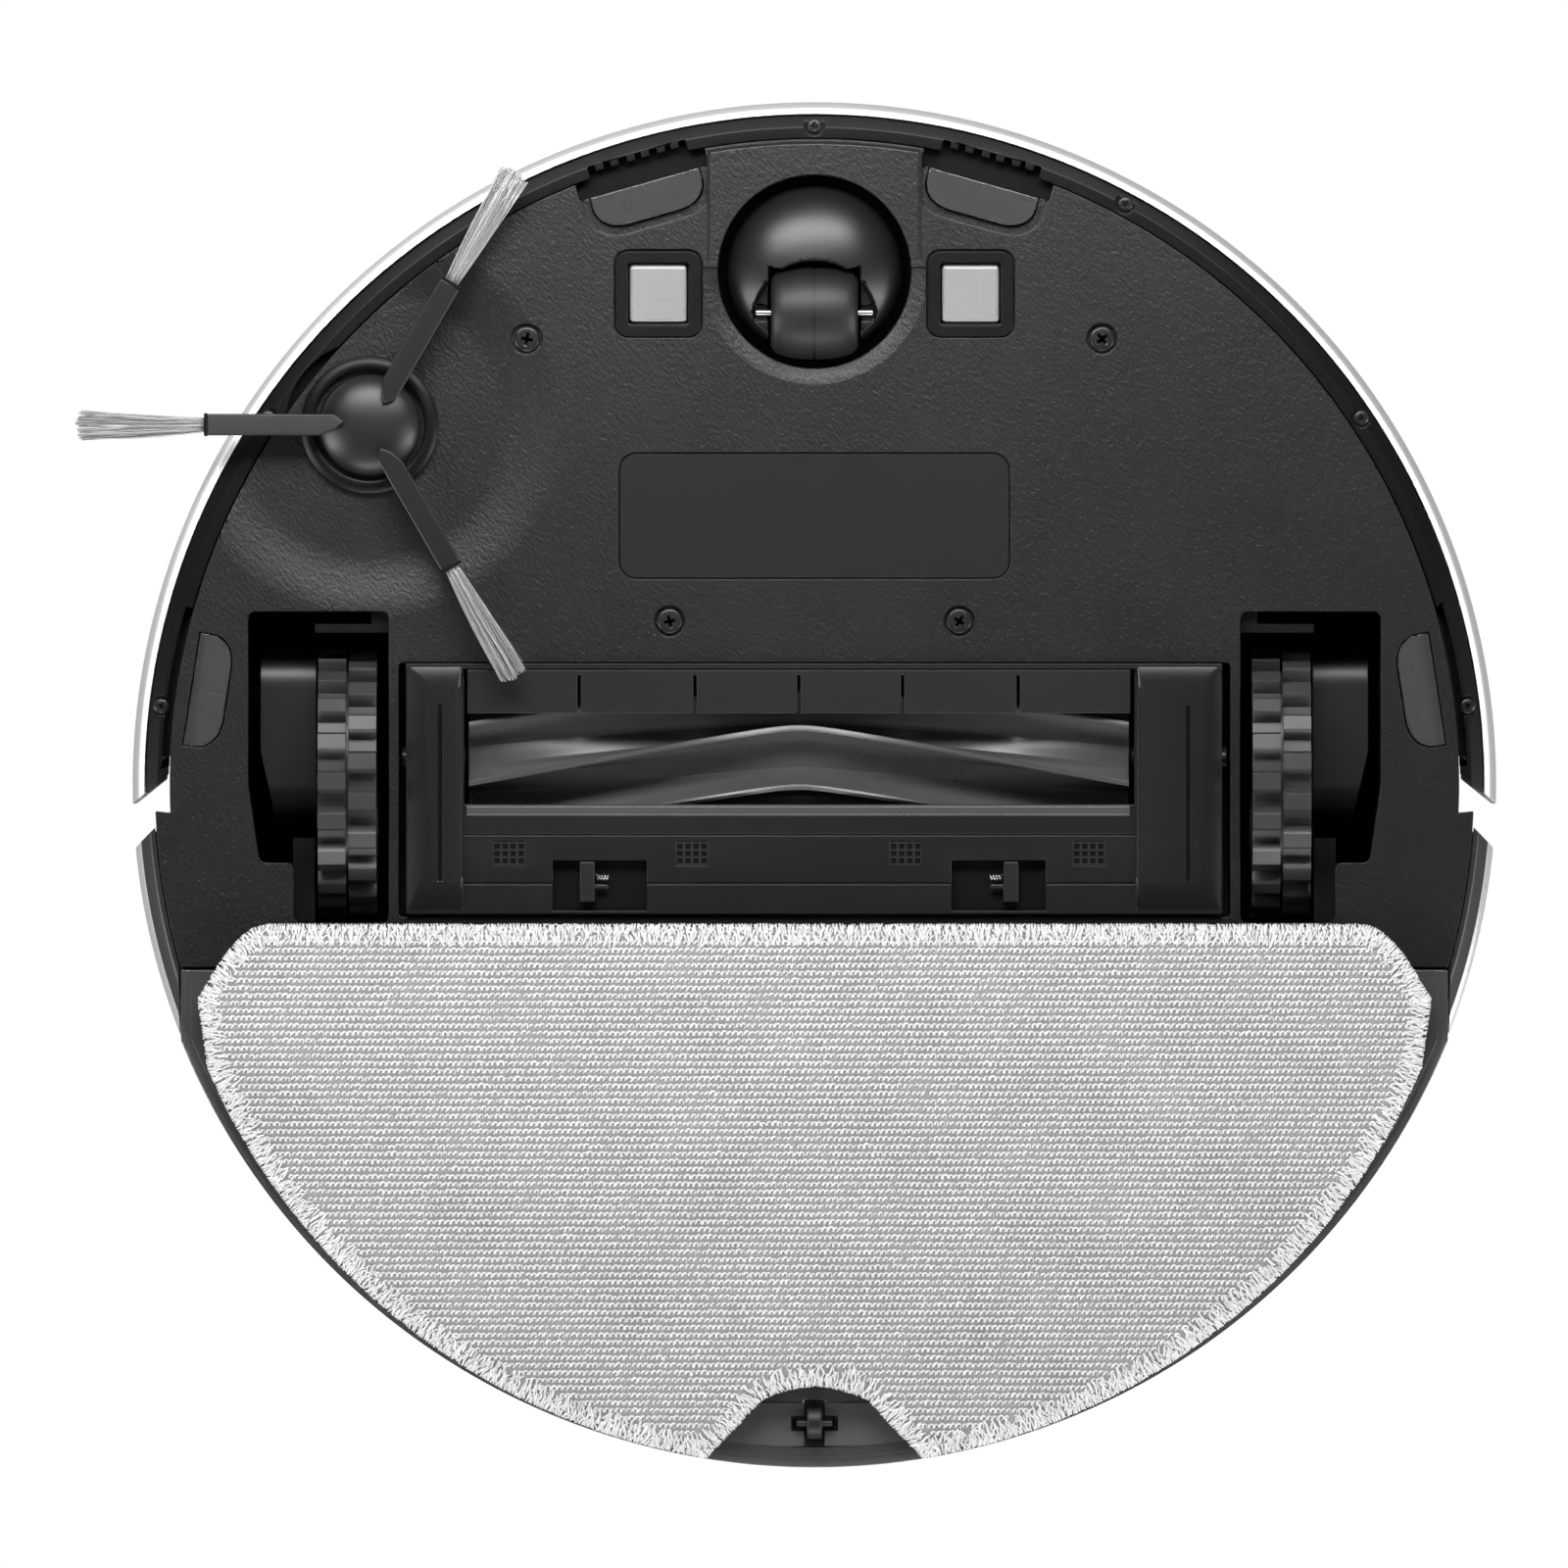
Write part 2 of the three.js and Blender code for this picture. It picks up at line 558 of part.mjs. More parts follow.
function rearShell() {
  return cut(
    common(turnedRing(wallProfile(LIP_Z + GAP)), rearZone()),
    prism(tankPlan(RUN), 0, BAY_CEILING),
  );
}

// The dark bevelled skirt under the rear shell, one on each side.
function rearSkirt(side) {
  const profile = [
    [REAR_PLATE_R + GAP, CLEARANCE + GAP],
    [REAR_PLATE_R + 1.4, CLEARANCE + GAP],
    [BODY_R - 1.7, LIP_Z],
    [REAR_PLATE_R + GAP, LIP_Z],
  ];
  return cut(
    common(turnedRing(profile), rearZone(), box(0, side * REACH, -REACH, REACH, 0, BODY_TOP)),
    prism(tankPlan(RUN), 0, BAY_CEILING),
  );
}

function topCover() {
  const x = LID.w / 2;
  const cuts = [
    box(-x - GAP, x + GAP, LID.y0 - GAP, LID.y1 + LID.hinge, BODY_TOP - LID.t - GAP, BODY_TOP + 1),
    box(-x + LID.ledge, x - LID.ledge, LID.y0 + LID.ledge, LID.y1 - LID.ledge, 0, BODY_TOP + 1),
    disc(ROTOR_SHAFT_R + RUN, 0, BODY_TOP + 1, 0, LIDAR_Y, 24),
    ...BUTTONS.map(([, bx]) => disc(BUTTON_R + GAP, 0, BODY_TOP + 1, bx, BUTTON_Y, 24)),
  ];
  const deck = turned([
    [0, COVER_BOTTOM],
    [FRONT_PLATE_R - 1.2, COVER_BOTTOM],
    [FRONT_PLATE_R - 0.2, COVER_BOTTOM + 1],
    [FRONT_PLATE_R - 0.2, BODY_TOP - 1],
    [FRONT_PLATE_R - 1.2, BODY_TOP],
    [0, BODY_TOP],
  ], ROUND);
  return cut(deck, ...cuts);
}

function topLid() {
  const x = LID.w / 2 - GAP;
  return box(-x, x, LID.y0 + GAP, LID.y1, BODY_TOP - LID.t, BODY_TOP);
}

function labelPlate() {
  const outline = roundedRectangle(
    LABEL.w - 2 * GAP, LABEL.h - 2 * GAP, LABEL.corner - GAP, 0, LABEL.y,
  );
  return prism(outline, CLEARANCE + GAP, CLEARANCE + LABEL.depth - GAP, 5);
}

function chargeContact(side) {
  const x = side * CONTACT.x;
  const half = CONTACT.size / 2;
  return box(x - half, x + half, CONTACT.y - half, CONTACT.y + half, CLEARANCE - 0.2, PLATE_TOP + 1);
}

// A crosshead screw.
function baseScrew(x, y) {
  const headZ = CLEARANCE + 0.4;
  const headTop = CLEARANCE + SCREW.depth - GAP;
  const head = turned([
    [0, headZ],
    [SCREW.head - 0.8, headZ],
    [SCREW.head, headZ + 0.4],
    [SCREW.head, headTop],
    [SCREW.shank, headTop],
    [SCREW.shank, headTop + SCREW.length],
    [0, headTop + SCREW.length],
  ], 16);
  const slots = [
    box(-2, 2, -0.4, 0.4, 0, headZ + 0.6),
    box(-0.4, 0.4, -2, 2, 0, headZ + 0.6),
  ];
  return cut(head, join(...slots)).translate(x, y, 0);
}

// --------------------------------------------------------------- inside
function brushHousing() {
  const outer = box(
    -BAY_HALF - BAY_END_T, BAY_HALF + BAY_END_T, BAY_BACK - BAY_T, BAY_FRONT + BAY_T,
    PLATE_TOP + GAP, BAY_HEIGHT + BAY_T,
  );
  return cut(
    outer,
    box(-BAY_HALF, BAY_HALF, BAY_BACK, BAY_FRONT, 0, BAY_HEIGHT),
    box(-SUCTION.half, SUCTION.half, -REACH, 0, SUCTION.z0, SUCTION.z1),
  );
}

function wheelHousing(side) {
  const low = PLATE_TOP + GAP;
  const back = TANK_FRONT + RUN + PLATE_T + GAP;
  const shell = cut(
    prism(wellPlan(side, WELL_T), low, WELL_TOP + WELL_T),
    prism(wellPlan(side, 0), 0, WELL_TOP),
    box(side * (WELL_IN - 9), side * REACH, -REACH, back, 0, BAY_CEILING + PLATE_T + GAP),
  );
  const x = (value) => side * (WELL_IN + value);
  const pin = rod(PIN_R, side * (WELL_OUT + 0.5), side * (ARM_IN + PIN_START), PIVOT.y, PIVOT.z, 20);
  const fender = box(
    x(-0.5), x(FENDER.w), WELL_FRONT - FENDER.front, WELL_FRONT - FENDER.back, low, FENDER.top,
  );
  const block = box(x(-0.5), x(BLOCK.w), WELL_FRONT - BLOCK.d, WELL_FRONT + 0.5, low, BLOCK.top);
  const bracket = box(x(BRACKET.x), x(BRACKET.x + BRACKET.w), back, BRACKET.front, low, BRACKET.top);
  const additions = [pin, fender, block, bracket];
  const wheelRoom = rod(WHEEL_R + 1.4, side * WELL_IN, side * (ARM_IN - 0.3), 0, WHEEL_R, 64);
  return cut(join(shell, ...additions), wheelRoom);
}

function batteryPack() {
  return box(-BATTERY.w / 2, BATTERY.w / 2, BATTERY.y0, BATTERY.y1, BATTERY.z0, BATTERY.z1);
}

function mainBoard() {
  const { w, y0, y1, z, t } = BOARD;
  const chips = CHIPS.map(([x, y, size]) => (
    box(x - size / 2, x + size / 2, y - size / 2, y + size / 2, z + t / 2, z + t + 2)
  ));
  return join(box(-w / 2, w / 2, y0, y1, z, z + t), ...chips);
}

function brushMotor() {
  const { r, x0, length, y, z, shaft, shaftR } = BRUSH_MOTOR;
  return join(
    rod(r, x0 + shaft, x0 + length, y, z),
    rod(shaftR, x0, x0 + length / 2, y, z, 16),
  );
}

function sideBrushMotor(x, y) {
  return cut(
    disc(SWEEP_MOTOR.r, SWEEP_MOTOR.bottom, SWEEP_MOTOR.top, x, y, 32),
    disc(SWEEP_SHAFT_R + GAP, 0, SWEEP_MOTOR.bottom + 8, x, y, 20),
  );
}

function dustbin() {
  const x = BIN.w / 2;
  const floorZ = BAY_CEILING + PLATE_T + TRAY_T + 2 * GAP;
  return cut(
    box(-x, x, BIN.y0, BIN.y1, floorZ, BIN.top),
    box(-x + BIN.t, x - BIN.t, BIN.y0 + BIN.t, BIN.y1 - BIN.t, floorZ + BIN.t, BODY_TOP),
    box(-SUCTION.half, SUCTION.half, BIN.y1 - 2 * BIN.t, BIN.y1 + BIN.t, SUCTION.z0, SUCTION.z1),
  );
}

function fanHousing() {
  const floorZ = BAY_CEILING + PLATE_T + TRAY_T + 2 * GAP;
  return cut(
    disc(FAN.r, floorZ, FAN.top, FAN.x, FAN.y),
    disc(FAN.r - FAN.t, floorZ + FAN.t, FAN.top - FAN.t, FAN.x, FAN.y),
    disc(FAN.inlet, FAN.top - 2 * FAN.t, BODY_TOP, FAN.x, FAN.y, 32),
    box(FAN.x, FAN.x + FAN.r + FAN.t, FAN.y - FAN.outlet, FAN.y + FAN.outlet, floorZ + 6, FAN.top - 8),
  );
}

function fanImpeller() {
  const { r, z, hub, hubTop, blades, bladeT, bladeTop } = IMPELLER;
  const parts = [disc(r, z, z + IMPELLER.disc), disc(hub, z + 1, hubTop, 0, 0, 24)];
  for (let i = 0; i < blades; i += 1) {
    const blade = box(hub - 1, r - 1, -bladeT / 2, bladeT / 2, z + 1, bladeTop);
    parts.push(blade.rotateZ((2 * Math.PI * i) / blades));
  }
  return join(...parts).translate(FAN.x, FAN.y, 0);
}

// --------------------------------------------------------------- bumper
function bumperSkin() {
  return common(turnedRing(wallProfile(LIP_Z)), bumperZone());
}

// The black inner carrier, whose flat rim shows around the base plate.
function bumperLiner() {
  const inner = FRONT_PLATE_R + 0.3;
  const wall = BODY_R - LIP_IN - GAP;
  const ring = turnedRing([
    [inner, PLATE_TOP + GAP],
    [inner + LINER_FLAT, PLATE_TOP + GAP],
    [wall, LIP_Z + 0.4],
    [wall, COVER_BOTTOM - 8],
    [wall - LINER_T, COVER_BOTTOM - 8],
    [wall - LINER_T, LIP_Z + 2.6],
    [inner, LIP_Z + 0.6],
  ]);
  const slots = LENSES.slice(0, 2).map(([, degrees, inset]) => (
    carriedOut(box(-13, 13, -5, inset + 2.8, 0, LIP_Z + 4), FRONT_PLATE_R - inset, degrees)
  ));
  const [hubX, hubY] = bearing(SIDE_BRUSH.r, SIDE_BRUSH.bearing);
  const besideHub = disc(SWEEP_NOTCH_R, 0, LIP_Z + 4, hubX, hubY, 32);
  return cut(common(ring, bumperZone()), ...slots, besideHub);
}

// --------------------------------------------------------- drive wheels
// A cogged outline with raised lugs, drawn about the axle.
function lugOutline(phase) {
  const shape = new THREE.Shape();
  const step = (2 * Math.PI) / LUG_COUNT;
  for (let i = 0; i < LUG_COUNT; i += 1) {
    const start = (i + phase) * step;
    LUG_PROFILE.forEach(([share, r], k) => {
      const angle = start + share * step;
      const x = r * Math.cos(angle);
      const y = r * Math.sin(angle);
      if (i + k === 0) {
        shape.moveTo(x, y);
      } else {
        shape.lineTo(x, y);
      }
    });
  }
  return shape;
}

function tyre() {
  const half = WHEEL_W / 2;
  const solid = join(
    sidewaysPrism(lugOutline(0), -half, -0.2),
    sidewaysPrism(lugOutline(0.5), 0.2, half),
    rod(WHEEL_R - LUG_H - 0.4, -half, half, 0, 0, 42),
  );
  return cut(solid, rod(WHEEL_R - TYRE_T, -REACH, REACH, 0, 0, 42));
}

function wheelHub(side) {
  const rim = WHEEL_R - TYRE_T - GAP;
  const body = join(
    rod(rim, -HUB_W / 2, HUB_W / 2, 0, 0, 42),
    rod(AXLE_R, 0, side * (WHEEL_W / 2 + RUN + 9.5), 0, 0, 24),
  );
  const dishX = -side * (HUB_W / 2 - 3);
  const recess = cut(
    rod(rim - 3, dishX, -side * REACH, 0, 0, 42),
    rod(8, 0, -side * REACH, 0, 0, 24),
  );
  return cut(body, recess);
}

// The gearbox arm that carries a wheel and swings on the housing's pin.
function wheelArm(side) {
  const circles = [
    [PIVOT.y, PIVOT.z, PIVOT_R],
    [0, WHEEL_R, PIVOT_R - 1.8],
    [DRIVE_MOTOR.y, DRIVE_MOTOR.z, DRIVE_MOTOR.r + 2.3],
  ];
  const outX = ARM_IN + ARM_W;
  const body = sidewaysPrism(beltOutline(circles), side * ARM_IN, side * outX);
  const slant = prism(polygon([
    [side * outX, 8.3],
    [side * (outX - 4.6), -12],
    [side * (outX + 8), -12],
    [side * (outX + 8), 8.3],
  ]), 0, BODY_TOP);
  return cut(
    body,
    slant,
    rod(AXLE_R + GAP, side * (ARM_IN - 1), side * (ARM_IN + 10), 0, WHEEL_R, 24),
    rod(PIN_R + GAP, side * (ARM_IN + 10.2), side * REACH, PIVOT.y, PIVOT.z, 20),
    rod(DRIVE_MOTOR.r + GAP, side * (ARM_IN + 3), side * REACH, DRIVE_MOTOR.y, DRIVE_MOTOR.z),
  );
}

function driveMotor(side) {
  const x = side * (ARM_IN + 3 + GAP);
  return rod(DRIVE_MOTOR.r, x, x + side * DRIVE_MOTOR.length, DRIVE_MOTOR.y, DRIVE_MOTOR.z);
}

// --------------------------------------------------------------- castor
function castorDome() {
  const body = turned([
    [0, DOME_Z],
    [0.265 * DOME_R, DOME_Z + 0.5],
    [0.53 * DOME_R, DOME_Z + 2],
    [0.752 * DOME_R, DOME_Z + 4.6],
    [0.912 * DOME_R, DOME_Z + 8],
    [DOME_R, DOME_Z + 13],
    [DOME_R, DOME_TOP],
    [STEM_R, DOME_TOP],
    [STEM_R, STEM_TOP],
    [0, STEM_TOP],
  ]);
  const mouth = new THREE.Shape();
  mouth.moveTo(CASTOR_MOUTH_R, -REACH);
  mouth.absarc(0, -13.6, CASTOR_MOUTH_R, 0, Math.PI);
  mouth.lineTo(-CASTOR_MOUTH_R, -REACH);
  const wheelHalf = CASTOR_W / 2 + RUN;
  const snapSlot = (side) => box(
    side * (CASTOR_W / 2 - 0.15), side * (CASTOR_PIN_HALF + RUN),
    -CASTOR_TRAIL - 2, -CASTOR_TRAIL + 2, 0, CASTOR_R + 1.2,
  );
  return cut(
    body,
    prism(mouth, 0, CASTOR_R - 2, 16),
    rod(CASTOR_R + 1, -wheelHalf, wheelHalf, -CASTOR_TRAIL, CASTOR_R, 48),
    box(-wheelHalf, wheelHalf, -REACH, -CASTOR_TRAIL, 0, 2 * CASTOR_R + 1),
    box(-wheelHalf, wheelHalf, -CASTOR_TRAIL - 1, -CASTOR_TRAIL + CASTOR_R + 1, 0, CASTOR_R),
    snapSlot(1),
    snapSlot(-1),
  );
}

function castorWheel() {
  const half = CASTOR_W / 2;
  const bore = CASTOR_PIN_R + GAP;
  const barrel = turnedRing([
    [bore, -half],
    [CASTOR_R - 2.2, -half],
    [CASTOR_R - 0.6, -half + 3],
    [CASTOR_R, 0],
    [CASTOR_R - 0.6, half - 3],
    [CASTOR_R - 2.2, half],
    [bore, half],
  ], 32);
  return barrel.rotateY(Math.PI / 2);
}

// --------------------------------------------------------- main brush
function brushCore() {
  return join(
    rod(CORE_R, ROLLER_X - ROLLER_HALF, ROLLER_X + ROLLER_HALF, 0, 0, 32),
    rod(JOURNAL_R, -BAY_HALF + 0.5, BAY_HALF - 0.5, 0, 0, 20),
  );
}

// A rubber sleeve with fins whose V shape points forward in the middle.
function brushFins() {
  const sleeve = CORE_R + GAP + 1.5;
  const shape = new THREE.Shape();
  for (let i = 0; i < FIN_COUNT; i += 1) {
    const angle = FIN_PHASE + (2 * Math.PI * i) / FIN_COUNT;
    const next = angle + (2 * Math.PI) / FIN_COUNT;
    const corner = (r, offset) => [
      r * Math.cos(angle) - offset * Math.sin(angle),
      r * Math.sin(angle) + offset * Math.cos(angle),
    ];
    const corners = [
      corner(sleeve, -FIN_T),
      corner(ROLLER_R, -FIN_T / 2),
      corner(ROLLER_R, FIN_T / 2),
      corner(sleeve, FIN_T),
      [sleeve * Math.cos((angle + next) / 2), sleeve * Math.sin((angle + next) / 2)],
    ];
    corners.forEach(([x, y], k) => (i + k === 0 ? shape.moveTo(x, y) : shape.lineTo(x, y)));
  }
  const length = ROLLER_HALF - 0.5;
  const geometry = sidewaysPrism(shape, -length, length, 4, 12);
  const place = geometry.attributes.position;
  for (let i = 0; i < place.count; i += 1) {
    const along = Math.abs(place.getX(i)) / length;
    const point = new THREE.Vector3().fromBufferAttribute(place, i);
    point.applyAxisAngle(new THREE.Vector3(1, 0, 0), -FIN_TWIST * along);
    place.setXYZ(i, point.x, point.y, point.z);
  }
  return cut(geometry, rod(CORE_R + GAP, -REACH, REACH, 0, 0, 32)).translate(ROLLER_X, 0, 0);
}

// X at a share of half the roller's length.
function alongRoller(share) {
  return ROLLER_X + share * ROLLER_HALF;
}

// The frame that holds the roller in, open over the roller.
function brushGuard() {
  const right = BAY_HALF - 1.9;
  const left = 2.1 - BAY_HALF;
  const front = BAY_FRONT - GAP;
  const rightBlock = ROLLER_X + ROLLER_HALF + 0.8;
  const leftBlock = ROLLER_X - ROLLER_HALF - 1;
  const blockBack = GUARD_BACK + 1.5; // so that the blocks clear the bay as the guard swings down
  const pieces = [
    box(left, right, GUARD_BACK, LIP_BAR_Y, GUARD_Z, GUARD_TOP),
    box(left, right, front - 1.2, front, GUARD_Z, GUARD_TOP + 2),
    box(rightBlock, right, blockBack, BLOCK_FRONT, GUARD_Z, BLOCK_TOP),
    box(left, leftBlock, blockBack, BLOCK_FRONT, GUARD_Z, BLOCK_TOP),
    box(rightBlock, right, BLOCK_FRONT - 1, front, GUARD_Z + 1.2, GUARD_TOP),
    box(left, leftBlock, BLOCK_FRONT - 1, front, GUARD_Z + 1.2, GUARD_TOP),
  ];
  const pockets = LATCHES.map(([, share]) => {
    const x = alongRoller(share);
    return box(
      x - LATCH_POCKET_W / 2, x + LATCH_POCKET_W / 2,
      LATCH_BACK, LATCH_BACK + LATCH_POCKET_D, 0, GUARD_TOP + 1,
    );
  });
  const windows = MESHES.map((share) => {
    const x = alongRoller(share);
    return box(x - MESH.w / 2, x + MESH.w / 2, MESH.y0, MESH.y1, 0, GUARD_Z + MESH.depth);
  });
  const blockHollows = [[rightBlock, right], [left, leftBlock]].map(([x0, x1]) => box(
    x0 + BLOCK_T, x1 - BLOCK_T, blockBack + BLOCK_T, BLOCK_FRONT - BLOCK_T, GUARD_Z + 2, REACH,
  ));
  return cut(join(...pieces), ...pockets, ...windows, ...blockHollows);
}

// A sliding latch: a plate behind its pocket, and the tab that a finger pushes.
function guardLatch(x, way) {
  const { w, offset, start, end } = LATCH_TAB;
  const tabX = x - way * offset;
  const half = LATCH_POCKET_W / 2 + 2;
  return join(
    box(
      x - half, x + half, LATCH_BACK, LATCH_BACK + LATCH_POCKET_D + 2,
      GUARD_TOP + GAP, GUARD_TOP + GAP + LATCH_T,
    ),
    box(tabX - w / 2, tabX + w / 2, LATCH_BACK + start, LATCH_BACK + end, GUARD_Z + 0.4, GUARD_TOP + 1),
  );
}

// The split rubber strip ahead of the roller.
function guardFlaps() {
  const x0 = ROLLER_X - ROLLER_HALF;
  const x1 = ROLLER_X + ROLLER_HALF;
  const back = BAY_FRONT - 1.5 - GAP;
  const strip = box(x0, x1, FLAP_BACK, back, FLAP_Z, FLAP_Z + FLAP_T);
  const splits = FLAP_SPLITS.map((share) => {
    const x = alongRoller(share);
    return box(x - 0.4, x + 0.4, FLAP_BACK - 1, back - 1.4, 0, REACH);
  });
  return cut(strip, ...splits);
}

// ---------------------------------------------------------- side brush
// Hub, shaft and three rubber arms, drawn about the shaft.
function sideBrushHub() {
  const hubTop = CLEARANCE + DISH_DEPTH - RUN;
  const hub = turned([
    [0, SWEEP_Z],
    [0.385 * SWEEP_HUB_R, SWEEP_Z + 0.3],
    [0.69 * SWEEP_HUB_R, SWEEP_Z + 1.4],
    [0.92 * SWEEP_HUB_R, SWEEP_Z + 3.6],
    [SWEEP_HUB_R, SWEEP_Z + 6],
    [SWEEP_HUB_R, hubTop],
    [SWEEP_SHAFT_R, hubTop],
    [SWEEP_SHAFT_R, SWEEP_MOTOR.bottom + 7],
    [0, SWEEP_MOTOR.bottom + 7],
  ], 28);
  const arms = [0, 1, 2].map((i) => {
    const side = polygon([
      [4, SWEEP_Z + 0.2],
      [SWEEP_ARM_R, TUFT_Z[0] - 0.3],
      [SWEEP_ARM_R, TUFT_Z[1] + 0.3],
      [10, SWEEP_Z + 4.4],
      [4, SWEEP_Z + 4.4],
    ]);
    const arm = prism(side, -SWEEP_ARM_W / 2, SWEEP_ARM_W / 2).rotateX(Math.PI / 2);
    return arm.rotateZ((2 * Math.PI * i) / 3);
  });
  return join(hub, ...arms);
}

// A tuft of bristles that flares towards its tip.
function sideBrushTuft(index) {
  const plan = polygon([
    [SWEEP_ARM_R + GAP, -TUFT_W[0] / 2],
    [SWEEP_TIP_R, -TUFT_W[1] / 2],
    [SWEEP_TIP_R, TUFT_W[1] / 2],
    [SWEEP_ARM_R + GAP, TUFT_W[0] / 2],
  ]);
  const side = polygon([
    [SWEEP_ARM_R + GAP, TUFT_Z[0]],
    [SWEEP_TIP_R, TUFT_TIP_Z[0]],
    [SWEEP_TIP_R, TUFT_TIP_Z[1]],
    [SWEEP_ARM_R + GAP, TUFT_Z[1]],
  ]);
  const tuft = common(
    prism(plan, 0, BODY_TOP),
    prism(side, -REACH, REACH).rotateX(Math.PI / 2),
  );
  return tuft.rotateZ((2 * Math.PI * index) / 3);
}

// --------------------------------------------------------- mop module
function waterTank() {
  const round = disc(BODY_R, 0, BODY_TOP, 0, 0, ROUND);
  const inside = common(
    prism(tankPlan(-TANK_T), TANK_BOTTOM + TANK_T, TANK_TOP - TANK_T),
    disc(BODY_R - TANK_T, 0, BODY_TOP, 0, 0, ROUND),
  );
  const { y, z, r, w, pin, pinR, recess } = REAR_ROLLER;
  const mountBlock = box(-recess / 2 - 2, recess / 2 + 2, y - recess / 2 - 2, y + recess / 2 + 2,
    TANK_BOTTOM, TANK_TOP);
  const shell = cut(
    common(prism(tankPlan(0), TANK_BOTTOM, TANK_TOP), round),
    inside,
    disc(FILLER_R, TANK_TOP - 5, BODY_TOP, 0, FILLER_Y, 32),
  );
  const arm = w / 2 + GAP + 0.4;
  const cross = join(
    box(-arm, arm, y - recess / 2, y + recess / 2, 0, z + r + 2),
    box(-recess / 2, recess / 2, y - 2, y + 2, 0, z + pinR + GAP + 2),
    box(-pin / 2 - GAP, pin / 2 + GAP, y - r - RUN, y + r + RUN, 0, z + r + 1),
  );
  return cut(join(shell, mountBlock), cross);
}

// The cloth's outline, smaller by inset, with the notch around the rear roller.
function mopOutline(inset) {
  const r = PAD_R - inset;
  const top = PAD_TOP_Y - inset;
  const cornerX = 139.6 - 0.4 * inset;
  const sideX = EAR_X - 3.9 - inset;
  const start = -0.407;
  const end = -Math.PI / 2 + 0.162 + inset / r;
  const shape = new THREE.Shape();
  shape.moveTo(-cornerX, top);
  shape.lineTo(cornerX, top);
  shape.bezierCurveTo(cornerX + 8, top, sideX - 5, top - 11, sideX, -55);
  shape.lineTo(r * Math.cos(start), PAD_CENTRE_Y + r * Math.sin(start));
  shape.absarc(0, PAD_CENTRE_Y, r, start, end, true);
  const notch = [[16.5 + inset, -161.5], [11.6 + inset, -157.2 + 0.6 * inset], [0, PAD_NOTCH_Y + inset]];
  for (const [x, y] of notch) {
    shape.lineTo(x, y);
  }
  for (const [x, y] of notch.slice(0, 2).reverse()) {
    shape.lineTo(-x, y);
  }
  shape.absarc(0, PAD_CENTRE_Y, r, -Math.PI - end, -Math.PI - start, true);
  shape.lineTo(-sideX, -55);
  shape.bezierCurveTo(-sideX + 5, top - 11, -cornerX - 8, top, -cornerX, top);
  return shape;
}

function mopPad() {
  return prism(mopOutline(0), 0, PAD_T, 16);
}

function mopHolder() {
  return prism(mopOutline(5), PAD_T + GAP, PAD_T + GAP + HOLDER_T, 12);
}

function rearRoller() {
  const { r, w, pin, pinR } = REAR_ROLLER;
  return join(rod(r, -w / 2, w / 2, 0, 0, 28), rod(pinR, -pin / 2, pin / 2, 0, 0, 12));
}

// ------------------------------------------------------------- deck top
function lidarBase() {
  const top = COVER_BOTTOM - 1;
  return cut(
    disc(22, BAY_HEIGHT + BAY_T + 2, top, 0, LIDAR_Y),
    disc(ROTOR_SHAFT_R + GAP, top - 10, top + 1, 0, LIDAR_Y, 24),
  );
}

function lidarRotor() {
  return join(
    disc(ROTOR_R, BODY_TOP + 2.5, BODY_TOP + 5),
    box(-24, 24, -12, 12, BODY_TOP + 4, BODY_TOP + 13),
    disc(ROTOR_SHAFT_R, COVER_BOTTOM - 10, BODY_TOP + 4, 0, 0, 24),
  );
}

// The turret's fixed cage: a lower ring, posts and a round cap.
function lidarShroud() {
  const foot = cut(
    disc(TURRET_R, BODY_TOP + GAP, BODY_TOP + 4, 0, 0, 40),
    disc(TURRET_R - 5, 0, REACH, 0, 0, 40),
  );
  const cap = turned([
    [0, TURRET_TOP - 3],
    [TURRET_R, TURRET_TOP - 3],
    [TURRET_R, TURRET_TOP - 1.5],
    [TURRET_R - 1.5, TURRET_TOP],
    [0, TURRET_TOP],
  ], 40);
  const postCount = 6;
  const parts = [foot, cap];
  for (let i = 0; i < postCount; i += 1) {
    const post = box(TURRET_R - 4.5, TURRET_R - 1, -3, 3, BODY_TOP + 3, TURRET_TOP - 2);
    parts.push(post.rotateZ((2 * Math.PI * (i + 0.5)) / postCount));
  }
  return join(...parts);
}

function button(x) {
  return join(
    disc(BUTTON_R, COVER_BOTTOM - 3, BODY_TOP + 0.6, x, BUTTON_Y, 24),
    disc(BUTTON_R + 1.5, COVER_BOTTOM - 4.5, COVER_BOTTOM - BUTTON_TRAVEL, x, BUTTON_Y, 24),
  );
}

// ---------------------------------------------------------- put together
piece('base_plate', basePlate(), GRAINED);
piece('chassis_tray', chassisTray(), SMOOTH_BLACK);
piece('top_cover', topCover(), WHITE);
piece('rear_shell', rearShell(), WHITE);
piece('bumper_skin', bumperSkin(), WHITE);
piece('bumper_liner', bumperLiner(), SMOOTH_BLACK);
piece('label_plate', labelPlate(), SMOOTH_BLACK);
piece('brush_housing', brushHousing(), INNER);
piece('battery_pack', batteryPack(), INNER);
piece('main_board', mainBoard(), INNER);
piece('brush_motor', brushMotor(), STEEL);
piece('dustbin', dustbin(), SMOKE);
piece('fan_housing', fanHousing(), INNER);
piece('fan_impeller', fanImpeller(), INNER);
piece('top_lid', topLid(), WHITE);

LENSES.forEach(([name], i) => {
  piece(`cliff_lens_${name}`, lensPrisms(0, CLEARANCE - 0.2, PLATE_TOP + 2)[i], SMOKE);
});
SCREWS.forEach(([x, y], i) => piece(`base_screw_${i + 1}`, baseScrew(x, y), DARK_GREY));

